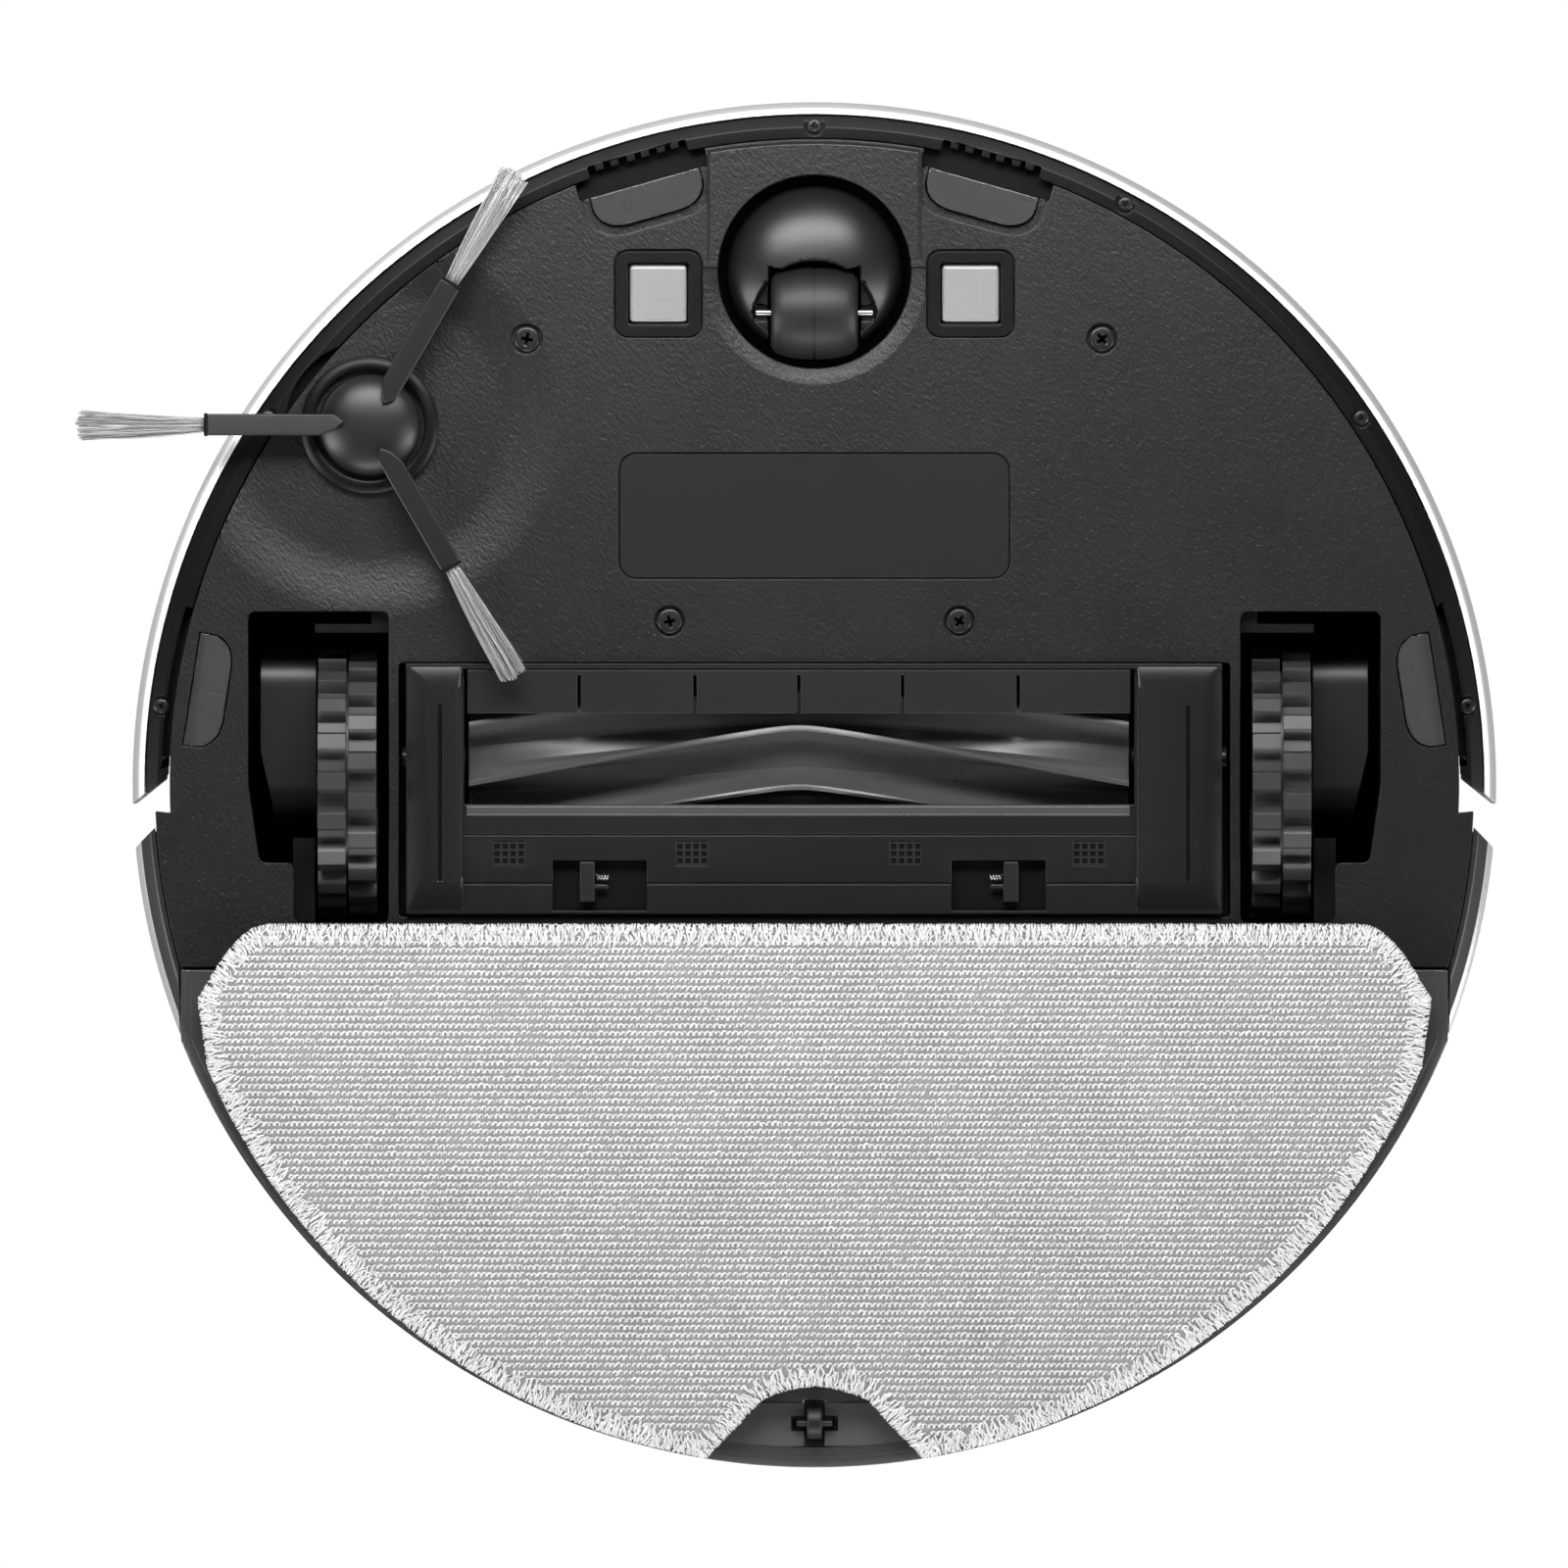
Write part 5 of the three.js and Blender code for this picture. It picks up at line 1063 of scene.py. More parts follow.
class VACUUM_OT_casings(PieceOperator, bpy.types.Operator):
    """Models the bumper, its liner, the rear shell, the skirts and the deck"""

    bl_idname = "vacuum.casings"
    bl_label = "Bumper, shell and deck"

    def wall(self, name, lip_z):
        out, top = BODY_R, SHELL_TOP
        profile = [(out - 3.3, lip_z), (out - 2.1, lip_z),
                   (out - 1.8, lip_z + 0.3), (out - 1.4, lip_z + 1.8)]
        for t in np.linspace(0.2, 1, 5):
            profile.append((out - 1.4 * (1 - t) ** 2, lip_z + 1.8 + 10 * t))
        for t in np.linspace(0, 1, 9):
            angle = t * math.pi / 2
            across, up = ROLL * (1 - math.cos(angle)), ROLL * (1 - math.sin(angle)) * 1.1
            profile.append((out - across, top - up))
        profile += [(out - 8, top), (out - 8, top - 1.7), (out - 5, top - 2.6)]
        profile += [(out - 2.3, top - 10), (out - 2.3, lip_z + 3), (out - 3.3, lip_z + 1.6)]
        return spun(name, profile, steps=FINE)

    def build(self, sizes):
        skin = kept(self.wall("bumper_shell", LIP_Z), bumper_zone())
        done(softened(skin, 0.25, sharp=50), "bumper", "shell white", "shell_white", "bumper_skin")
        rear = kept(self.wall("rear_wall", low("rear_shell").z), rear_zone())
        cut(rear, slab("tool", tank_plan(RUN), 0, TANK_TOP + RUN))
        done(softened(rear, 0.25, sharp=50), "chassis", "shell white", "shell_white", "rear_shell")
        self.liner(sizes)
        for name, side in (("right", 1), ("left", -1)):
            base = PLATE_Z + GAP
            profile = [(REAR_R + 0.3, base), (REAR_R + 1.2, base), (REAR_R + 1.9, base + 0.25),
                       (BODY_R - 2.1, LIP_Z - 0.5), (BODY_R - 1.7, LIP_Z), (REAR_R + 0.3, LIP_Z)]
            skirt = kept(spun(f"skirt_{name}", profile, steps=FINE), rear_zone(),
                         block("tool", 0, side * REACH, -REACH, REACH, 0, 80))
            cut(skirt, slab("tool", tank_plan(RUN), 0, TANK_TOP + RUN))
            done(softened(skirt, 0.15), "chassis", "skirt grey", "skirt_grey", f"rear_skirt_{name}")
        self.deck(sizes)

    def liner(self, sizes):
        inner, outer = FRONT_R + 0.3, BODY_R - 3.6
        base, top = low("bumper_liner").z, high("bumper_liner").z
        profile = [(inner, base), (inner + 2.8, base), (outer - 0.4, LIP_Z + 0.1), (outer, LIP_Z + 0.5),
                   (outer, top), (outer - 1.5, top), (outer - 1.5, LIP_Z + 2.6), (inner, LIP_Z + 0.6)]
        liner = kept(spun("bumper_carrier", profile, steps=FINE), bumper_zone())
        cuts = [disc("tool", 21.5, 0, LIP_Z + 4, HUB.x, HUB.y, 64)]
        for name, (degrees, inset) in LENSES.items():
            if "front" in name:
                slot = block("tool", -13, 13, -5, inset + 2.8, 0, LIP_Z + 4)
                cuts.append(carried(slot, FRONT_R - inset, degrees))
            else:
                slit = [(x, y) for x, y in arc(FRONT_R + 2.1, 90 - degrees - 7, 90 - degrees + 7, 16)]
                slit += arc(FRONT_R + 0.4, 90 - degrees + 7, 90 - degrees - 7, 16)
                cuts.append(slab("tool", slit, 0, LIP_Z + 4))
        for degrees in SMALL_SCREWS:
            x, y = bearing(SMALL_SCREW_R, degrees)
            cuts.append(disc("tool", 2.6, 0, base + 0.9, x, y, 32))
        # A near black ring inside the bumper, behind the liner's slots: painted shade seen through them.
        ring = [(FRONT_R - 0.6, LIP_Z + 2.8), (BODY_R - 5.2, LIP_Z + 2.8),
                (BODY_R - 5.2, LIP_Z + 3.8), (FRONT_R - 0.6, LIP_Z + 3.8)]
        shelf = spun("bumper_shelf", ring, steps=FINE)
        kept(shelf, bumper_zone(), block("tool", -REACH, REACH, SHELF_END, REACH, 0, 80))
        done(softened(shelf, 0), "bumper", "near black and painted shade", "smooth_black")
        cut(liner, *cuts)
        softened(liner, 0.25, sharp=25, smooth=30)
        done(liner, "bumper", "smooth black", "smooth_black", "bumper_liner")
        for i, degrees in enumerate(SMALL_SCREWS):
            x, y = bearing(SMALL_SCREW_R, degrees)
            screw = crosshead("tool", 2.0, 1.0, base + 0.25)
            turn = Matrix.Rotation(math.radians(23 * i), 4, "Z")
            turned_about(screw, Matrix.Translation((x * MM, y * MM, 0)) @ turn)
            screw.name = screw.data.name = f"liner_screw_{i + 1}"
            done(screw, "bumper", "screw black", "screw_black")
        for name, (degrees, inset) in LENSES.items():
            if "front" in name:
                teeth = []
                for x in (-10, -6.4, -2.2, 1.6, 6, 10):
                    tooth = block("tooth", x - 1.1, x + 1.1, inset + 1.2, inset + 3.1, base, LIP_Z + 1.9)
                    teeth.append(carried(tooth, FRONT_R - inset, degrees))
                comb = softened(joined(f"slot_comb_{name[-5:].strip('_')}", teeth), 0.2)
                done(comb, "bumper", "smooth black", "smooth_black")

    def deck(self, sizes):
        r = FRONT_R - 0.2
        profile = [(0, DECK_LOW), (r - 1, DECK_LOW), (r, DECK_LOW + 1)]
        profile += [(r - 1.4 * (1 - math.cos(a)), DECK_TOP - 1.4 * (1 - math.sin(a)))
                    for a in np.linspace(0, math.pi / 2, 6)]
        deck = spun("deck", profile + [(0, DECK_TOP)], steps=FINE)
        lid_low, lid_high = low("top_lid"), high("top_lid")
        cuts = [
            block("tool", lid_low.x - 0.6, lid_high.x + 0.6, lid_low.y - 0.6, lid_high.y + 1.2,
                  lid_low.z - 0.3, 90),
            block("tool", lid_low.x + 2.7, lid_high.x - 2.7, lid_low.y + 2.7, lid_high.y - 3, 0, 90),
            disc("tool", 3.6, 0, 90, 0, middle("lidar_rotor").y, 32),
        ]
        for node_name in ("power_button", "home_button"):
            button = middle(node_name)
            cuts.append(disc("tool", 7.3, 0, 90, button.x, button.y, 64))
            key = disc("key", 7, high(node_name).z - 4, high(node_name).z, button.x, button.y, 64)
            groove = spun("tool", [(4.6, high(node_name).z - 0.3), (5, high(node_name).z - 0.3),
                                   (5, 90), (4.6, 90)], button.x, button.y, 64)
            cut(key, groove)
            fused(key, disc("tool", 8.4, low(node_name).z, DECK_LOW - 1, button.x, button.y, 48),
                  disc("tool", 6.9, DECK_LOW - 1.2, high(node_name).z - 3.9, button.x, button.y, 48))
            key.name = key.data.name = node_name + "_cap"
            body = node_name.replace("button", "key")
            done(softened(key, 0.25), body, "deck white", "deck_white", node_name)
        cut(deck, *cuts)
        edit(deck)
        bpy.ops.mesh.dissolve_limited(angle_limit=math.radians(0.4))
        free()
        done(softened(deck, 0.2, sharp=50), "chassis", "deck white", "deck_white", "top_cover")
        lid = block("lid_panel", lid_low.x, lid_high.x, lid_low.y, lid_high.y, lid_low.z, lid_high.z)
        notch = disc("tool", 12, lid_high.z - 0.8, 90, 0, lid_low.y - 4, 64)
        cut(lid, notch)
        done(softened(lid, 0.35, 3), "lid", "deck white", "deck_white", "top_lid")


def crosshead(name, r, recess, base, depth=1.1):
    """A crosshead screw's head, seen from below, with its recess."""
    top = base + 1.4
    head = spun(name, [(0, base), (r - 0.7, base + 0.02), (r - 0.25, base + 0.18), (r, base + 0.5),
                       (r, top), (0, top)], steps=48)
    wide, thin = 0.62 * r, 0.13 * r
    tools = []
    for turn in (0, 90):
        slot = block("tool", -wide, wide, -thin, thin, base - 1, base + depth * recess)
        points = read_points(slot)
        deep = points[:, 2] > base
        points[deep, 0] *= 0.45
        place_points(slot, points)
        tools.append(turned_about(slot, Matrix.Rotation(math.radians(turn), 4, "Z")))
    cut(head, *tools)
    return softened(head, 0.06, 1)


def snap_slot(side, wheel_y):
    """The slot that one end of the castor's pin snaps into."""
    return block("tool", side * 11, side * 15.6, wheel_y - 2, wheel_y + 2, -1, 13.2)


class VACUUM_OT_castor(PieceOperator, bpy.types.Operator):
    """Models the castor's dome, its barrel wheel and the steel pin"""

    bl_idname = "vacuum.castor"
    bl_label = "Castor"

    def build(self, sizes):
        r = high("castor_dome").x
        base, top, stem = low("castor_dome").z, 30, high("castor_dome").z
        x, y = CASTOR.x, CASTOR.y
        wheel_y = middle("castor_axle").y
        wheel_z = middle("castor_axle").z
        profile = [(0, base - 0.2)]
        for t in np.linspace(0.06, 1, 20):
            angle = t * math.pi / 2
            profile.append((r * math.sin(angle), base - 0.2 + 13 * (1 - math.cos(angle))))
        profile += [(r, top), (4, top), (4, stem), (0, stem)]
        dome = spun("castor_swivel", profile, x, y, 96)
        mouth = arc(16.3, 0, 180, 40, 0, y - 13.6) + [(-16.3, y - 90), (16.3, y - 90)]
        cut(
            dome, slab("tool", mouth, -1, 11.6),
            rod("tool", 12.6, -11.75, 11.75, wheel_y, wheel_z, 64),
            block("tool", -11.75, 11.75, 60, wheel_y, -1, 25),
            kept(slab("tool", arc(15.9, 0, 180, 40, 0, y - 13.6) + [(-15.9, y - 90), (15.9, y - 90)],
                      -1, 13),
                 block("tool", -11.75, 11.75, wheel_y - 1, REACH, -2, 14)),
            snap_slot(1, wheel_y), snap_slot(-1, wheel_y),
        )
        softened(dome, 0.45, 3, sharp=35, smooth=30)
        done(dome, "castor", "castor black", "castor_black", "castor_dome")
        half, wheel_r = high("castor_wheel").x, wheel_z
        rim = [(1.1, -half), (wheel_r - 3.4, -half), (wheel_r - 2.5, -half + 0.5)]
        for t in np.linspace(-0.92, 0.92, 13):
            rim.append((wheel_r - 1.9 * abs(t) ** 2.6, t * (half - 0.4)))
        rim += [(wheel_r - 2.5, half - 0.5), (wheel_r - 3.4, half), (1.1, half)]
        wheel = spun("castor_barrel_wheel", rim, 0, 0, 96)
        groove = spun("tool", [(wheel_r - 0.35, -0.35), (wheel_r + 1, -0.35), (wheel_r + 1, 0.35),
                               (wheel_r - 0.35, 0.35)], 0, 0, 96)
        cut(wheel, groove)
        turned_about(wheel, Matrix.Rotation(math.pi / 2, 4, "Y"))
        turned_about(wheel, Matrix.Translation((0, wheel_y * MM, wheel_z * MM)))
        softened(wheel, 0, smooth=35)
        done(wheel, "castor_barrel", "castor rubber", "castor_rubber", "castor_wheel")
        pin = rod("castor_pin", 0.8, -15, 15, wheel_y, wheel_z, 32)
        done(softened(pin, 0.2), "castor", "pin steel", "pin_steel", "castor_axle")


class VACUUM_OT_drive_wheels(PieceOperator, bpy.types.Operator):
    """Models the lugged drive wheels, their gearboxes and the walls of their wells"""

    bl_idname = "vacuum.drive_wheels"
    bl_label = "Drive wheels"

    def lugs(self, phase, r):
        outline = []
        step = 2 * math.pi / LUG_COUNT
        for i in range(LUG_COUNT):
            for share, height in ((0, 0), (0.05, 2.4), (0.14, 3.4), (0.5, 3.4), (0.59, 2.4), (0.64, 0)):
                angle, out = (i + phase + share) * step, r - 3.4 + height
                outline.append((out * math.cos(angle), out * math.sin(angle)))
        return outline

    def build(self, sizes):
        for name, side in (("right", 1), ("left", -1)):
            wheel = middle(f"tyre_{name}")
            r = high(f"tyre_{name}").z - wheel.z
            half = (high(f"tyre_{name}") - low(f"tyre_{name}")).x / 2
            tyre = sideways(f"lugged_tyre_{name}", self.lugs(0, r), -half, -0.35)
            fused(tyre, sideways("tool", self.lugs(0.5, r), 0.35, half),
                  rod("tool", r - 3.7, -half, half, 0, 0, 126))
            cut(tyre, rod("tool", r - 9, -20, 20, 0, 0, 126))
            turned_about(tyre, Matrix.Translation(wheel * MM))
            softened(tyre, 0.45, 2, sharp=35, smooth=35, clamp=True)
            done(tyre, f"wheel_{name}", "tyre rubber", "tyre_rubber", f"tyre_{name}")
            arm = from_node(f"wheel_arm_{name}", f"gearbox_{name}", 0.9, 3, smooth=42)
            done(arm, f"arm_{name}", "gearbox grey", "gearbox_grey", f"wheel_arm_{name}")
            # The walls of the wheel wells take near black in place of their smooth black: painted shade in
            # the wells.
            walls = from_node(f"wheel_housing_{name}", f"wheel_well_{name}", 0.25)
            done(walls, "chassis", "near black and painted shade", "smooth_black", f"wheel_housing_{name}")


class VACUUM_OT_main_brush(PieceOperator, bpy.types.Operator):
    """Models the roller's swept rubber fins"""

    bl_idname = "vacuum.main_brush"
    bl_label = "Main brush"

    def build(self, sizes):
        r, sleeve, length = 18, 9.3, 84.5
        step = 2 * math.pi / FIN_COUNT
        outline = []
        for i in range(FIN_COUNT):
            angle = i * step + FIN_PHASE
            for place, offset in ((sleeve, -1.9), (sleeve + 1.6, -1.0), (r - 0.5, -0.8), (r, -0.45),
                                  (r, 0.45), (r - 0.5, 0.8), (sleeve + 1.6, 1.0), (sleeve, 1.9)):
                outline.append((place * math.cos(angle) - offset * math.sin(angle),
                                place * math.sin(angle) + offset * math.cos(angle)))
            for share in (0.38, 0.5, 0.62):
                between = angle + share * step
                outline.append((sleeve * math.cos(between), sleeve * math.sin(between)))
        fins = sideways("roller_fins", outline, -length, length, 80)
        cut(fins, rod("tool", 7.8, -REACH, REACH, 0, 0, 64))
        points = read_points(fins)
        along = (np.sqrt(points[:, 0] ** 2 + 36) - 6) / (math.hypot(length, 6) - 6)
        cos, sin = np.cos(FIN_TWIST * along), -np.sin(FIN_TWIST * along)
        y = points[:, 1] * cos - points[:, 2] * sin
        z = points[:, 1] * sin + points[:, 2] * cos
        points = np.column_stack((points[:, 0] + ROLLER.x, y + ROLLER.y, z + ROLLER.z))
        place_points(fins, points)
        softened(fins, 0, smooth=32)
        done(fins, "main_brush", "brush rubber", "brush_rubber", "brush_fins")
        core = from_node("brush_core", "roller_core", 0.5)
        done(core, "main_brush", "brush rubber", "brush_rubber", "brush_core")


class VACUUM_OT_brush_guard(PieceOperator, bpy.types.Operator):
    """Models the guard over the roller, its rubber flaps, mesh windows and sliding latches"""

    bl_idname = "vacuum.brush_guard"
    bl_label = "Brush guard"

    def build(self, sizes):
        base = GUARD_LOW.z
        guard = from_node("brush_guard", "guard_frame", 0)
        left, right = GUARD_LOW.x, GUARD_HIGH.x
        tools = []
        for y in (-13, -25.5):
            tools.append(block("tool", left - 1, right + 1, y - 0.35, y + 0.35, base - 1, base + 0.35))
        cut(guard, *tools)
        softened(guard, 0.4, 3, sharp=30, clamp=True)
        done(guard, "guard", "satin black", "smooth_black", "brush_guard")
        for name, x0, x1, inner in (("right", 89.8, right, 90.2), ("left", left, -82.1, -82.5)):
            outer = right - 4.7 if name == "right" else left + 4.7
            low_plan = rounded(x1 - x0 - 0.4, 63.0, 0.9, (x0 + x1) / 2, -1.2)
            high_plan = rounded(abs(outer - inner), 50.9, 2.2, (outer + inner) / 2, -0.15)
            cheek = tapered(f"guard_end_{name}", low_plan, high_plan, base + 0.1, base - 1.5)
            line = outer - 4 if name == "right" else outer + 4
            cut(cheek, block("tool", line - 0.3, line + 0.3, -24.8, 20, base - 2, base - 1.1))
            done(softened(cheek, 0.5, 3, sharp=20), "guard", "satin black", "smooth_black")
        profile = [(-5.2, base + 0.2), (-5.8, base - 0.5), (-7.6, base - 0.5),
                   (-8.4, base + 0.2), (-8.4, base + 0.5), (-5.2, base + 0.5)]
        # The lip bar takes the paler brush rubber in place of its smooth black: a painted highlight for its
        # lit front slope.
        lip = sideways("lip_bar", profile, left + 23.6, right - 15.4)
        done(softened(lip, 0.25), "guard", "brush rubber", "smooth_black")
        flaps = from_node("guard_flaps", "rubber_flaps", 0.3)
        done(flaps, "guard", "arm rubber", "brush_rubber", "guard_flaps")
        windows = []
        for x in MESH_PLACES:
            for i in range(5):
                bar = x - 4.1 + i * 2.05
                windows.append(block("bar", bar - 0.35, bar + 0.35, *MESH_Y, base + 0.3, base + 0.8))
            for i in range(4):
                bar = -20.6 + i * 1.85
                windows.append(block("bar", x - 4.1, x + 4.1, bar - 0.3, bar + 0.3,
                                     base + 0.25, base + 0.75))
        done(softened(joined("guard_meshes", windows), 0), "guard", "gearbox grey", "smooth_black")
        # Near black floors behind the mesh windows: painted shade seen through the mesh.
        floors = [block("floor", x - 4.1, x + 4.1, *MESH_Y, base + 0.6, base + 0.9) for x in MESH_PLACES]
        done(softened(joined("guard_mesh_floors", floors), 0), "guard", "near black and painted shade", "smooth_black")
        for name, way in (("right", -1), ("left", 1)):
            latch = from_node(f"guard_latch_{name}", f"sliding_latch_{name}", 0.35)
            done(latch, f"latch_{name}", "near black and painted shade", "smooth_black", f"guard_latch_{name}")
            plate = middle(f"guard_latch_{name}")
            tab, y = plate.x - way * 3.2, plate.y
            cap = block(f"latch_tab_{name}", tab - 1.9, tab + 1.9, y - 5.3, y + 5.1,
                        base + 0.1, base + 1.4)
            fused(cap, block("tool", tab + way * 1.8, tab + way * 5.4, y - 1.9, y - 0.7,
                             base + 0.6, base + 1.4))
            done(softened(cap, 0.35, 3), f"latch_{name}", "gearbox grey", "smooth_black")
            start, turns, pitch = tab + way * 2.4, 4, 0.75
            coil = []
            for t in np.linspace(0, 1, 49):
                angle = t * turns * 2 * math.pi
                coil.append((start + way * t * turns * pitch, y + 1 + 0.8 * math.cos(angle),
                             base + 1.6 + 0.8 * math.sin(angle)))
            spring = tube(f"latch_spring_{name}", coil, 0.16)
            done(softened(spring, 0, smooth=60), f"latch_{name}", "pin steel", "pin_steel")


class VACUUM_OT_side_brush(PieceOperator, bpy.types.Operator):
    """Models the side brush's hub, arms and bristles"""

    bl_idname = "vacuum.side_brush"
    bl_label = "Side brush"

    def build(self, sizes):
        x, y = HUB.x, HUB.y
        base = low("side_brush_hub").z
        profile = [(0, base + 0.2)]
        for t in np.linspace(0.1, 1, 14):
            angle = t * math.pi / 2
            profile.append((13 * math.sin(angle), base + 0.2 + 6 * (1 - math.cos(angle))))
        profile += [(13, 10.6), (2.2, 10.6), (2.2, 23.2), (0, 23.2)]
        hub = spun("brush_hub", profile, x, y, 96)
        done(softened(hub, 0.15, smooth=30), "side_brush", "arm rubber", "arm_rubber", "side_brush_hub")
        collar = spun("hub_collar", [(14.2, 11.4), (14.2, 10.1), (14.8, 9.7), (16.2, 9.7), (17.6, 10.6),
                                     (17.6, 11.6)], x, y, 96)
        done(softened(collar, 0.15), "chassis", "smooth black", "smooth_black")
        units = [self.arm(base), self.ferrule()]
        for index in range(3):
            turn = Matrix.Rotation(2 * math.pi * index / 3, 4, "Z")
            turn = Matrix.Translation((x * MM, y * MM, 0)) @ turn
            arm = copied(units[0], f"brush_arm_{index + 1}", turn)
            done(arm, "side_brush", "arm rubber", "arm_rubber")
            sleeve = copied(units[1], f"brush_ferrule_{index + 1}", turn)
            done(sleeve, "side_brush", "near black and painted shade", "arm_rubber")
            tuft = self.tuft(index, sizes.bristles)
            turned_about(tuft, turn)
            done(tuft, "side_brush", "bristle", "bristle", f"side_brush_tuft_{index + 1}")
        for unit in units:
            bpy.data.objects.remove(unit)

    def arm(self, base):
        outline = [(6.5, 0.6), (8.5, -1.2), (12.5, -2.75), (41.6, -2.75), (41.6, 2.75), (9, 2.75)]
        arm = slab("unit", outline, 0, 1)
        points = read_points(arm)
        upper = points[:, 2] > 0.5
        share = np.clip((points[:, 0] - 4) / 37, 0, 1)
        under = base - 0.5 + (3.7 - base) * share + 0.12 * points[:, 1]
        points[:, 2] = np.where(upper, 9.4 - 3.2 * share, under)
        place_points(arm, points)
        return softened(arm, 0.45, 3, sharp=25)

    def ferrule(self):
        sleeve = block("unit", 41.3, 42.3, -2.95, 2.95, 3.1, 6.6)
        return softened(sleeve, 0.3, 2)

    def tuft(self, index, count):
        rng = random.Random(40 + index)
        ring = [(math.cos(a), math.sin(a)) for a in (0, math.pi / 2, math.pi, 1.5 * math.pi)]
        unit = sideways("unit", ring, 0, 1, 5)
        shape = read_points(unit)
        places, shades = [], []
        for _ in range(count):
            across = rng.uniform(-1, 1)
            lift = rng.uniform(0, 1)
            tip = 75.4 - abs(rng.gauss(0, 1.3)) - 1.2 * abs(across)
            start_y, end_y = across * 1.6, across * 3.6 + rng.gauss(0, 0.35)
            start_z, end_z = 4.1 + 1.6 * lift, 0.95 + 1.6 * lift
            bow, droop = rng.gauss(0, 0.35), rng.gauss(0, 0.25)
            r = rng.uniform(0.1, 0.135)
            t = shape[:, 0]
            along = 40.6 + (tip - 40.6) * t
            centre_y = start_y + (end_y - start_y) * t**1.15 + bow * np.sin(math.pi * t)
            centre_z = start_z + (end_z - start_z) * t + droop * np.sin(math.pi * t)
            thick_y, thick_z = r * shape[:, 1], r * shape[:, 2]
            places.append(np.column_stack((along, centre_y + thick_y, centre_z + thick_z)))
            shades.append(rng.random())
        return repeated(unit, f"bristles_{index + 1}", places, shades)


class VACUUM_OT_sensors(PieceOperator, bpy.types.Operator):
    """Models the drop sensors, charging contacts, screws and the label plate"""

    bl_idname = "vacuum.sensors"
    bl_label = "Sensors, contacts and screws"

    def build(self, sizes):
        for name, (degrees, inset) in LENSES.items():
            base, top = low(name).z, high(name).z
            lens = lens_tool(degrees, inset, 0, base, base + 1.3)
            lens.name = lens.data.name = name.replace("cliff_lens", "smoky_window")
            done(softened(lens, 0.3), "chassis", "lens smoke", "smoke_clear", name)
            cup = lens_tool(degrees, inset, -0.2, base + 1.5, top - 0.2)
            hollow = FRONT_R - inset
            groove = block("tool", -0.6, 0.6, -LENS[1], 0, base, base + 3.2)
            rims = lens_tool(degrees, inset, -1.2, base, base + 1.9)
            cut(cup, carried(groove, hollow, degrees), rims)
            cup.name = cup.data.name = name.replace("cliff_lens", "sensor_cup")
            done(softened(cup, 0.3), "chassis", "inner grey", "smooth_black")
            dots = []
            for x in (-5.8, 5.8):
                dot = spun("dot", [(0, base + 1.4), (0.8, base + 1.5), (1.4, base + 2.0), (1.4, base + 2.6),
                                   (0, base + 2.6)], x, -LENS[1] / 2, 24)
                dots.append(carried(dot, hollow, degrees))
            pair = joined(name.replace("cliff_lens", "emitters"), dots)
            done(softened(pair, 0, smooth=50), "chassis", "turret black", "turret_black")
        for name in ("charge_contact_right", "charge_contact_left"):
            place = middle(name)
            metal = block(name.replace("charge_contact", "contact_pad"), place.x - 7.3, place.x + 7.3,
                          place.y - 7.3, place.y + 7.3, low(name).z, high(name).z)
            done(softened(metal, 1.0, 4), "chassis", "contact metal", "contact_metal", name)
        for i in range(1, 5):
            name = f"base_screw_{i}"
            place = middle(name)
            head = crosshead(f"base_crosshead_{i}", 3.3, 1.6, low(name).z)
            turn = Matrix.Rotation(math.radians((12, 51, 78, 33)[i - 1]), 4, "Z")
            turned_about(head, Matrix.Translation((place.x * MM, place.y * MM, 0)) @ turn)
            done(head, "chassis", "screw black", "screw_black", name)
        label = middle("label_plate")
        outline = rounded(99.6, 31.8, 4.2, 0, label.y)
        plate = slab("label_blank", outline, low("label_plate").z, high("label_plate").z)
        done(softened(plate, 0.15), "chassis", "label black", "smooth_black", "label_plate")


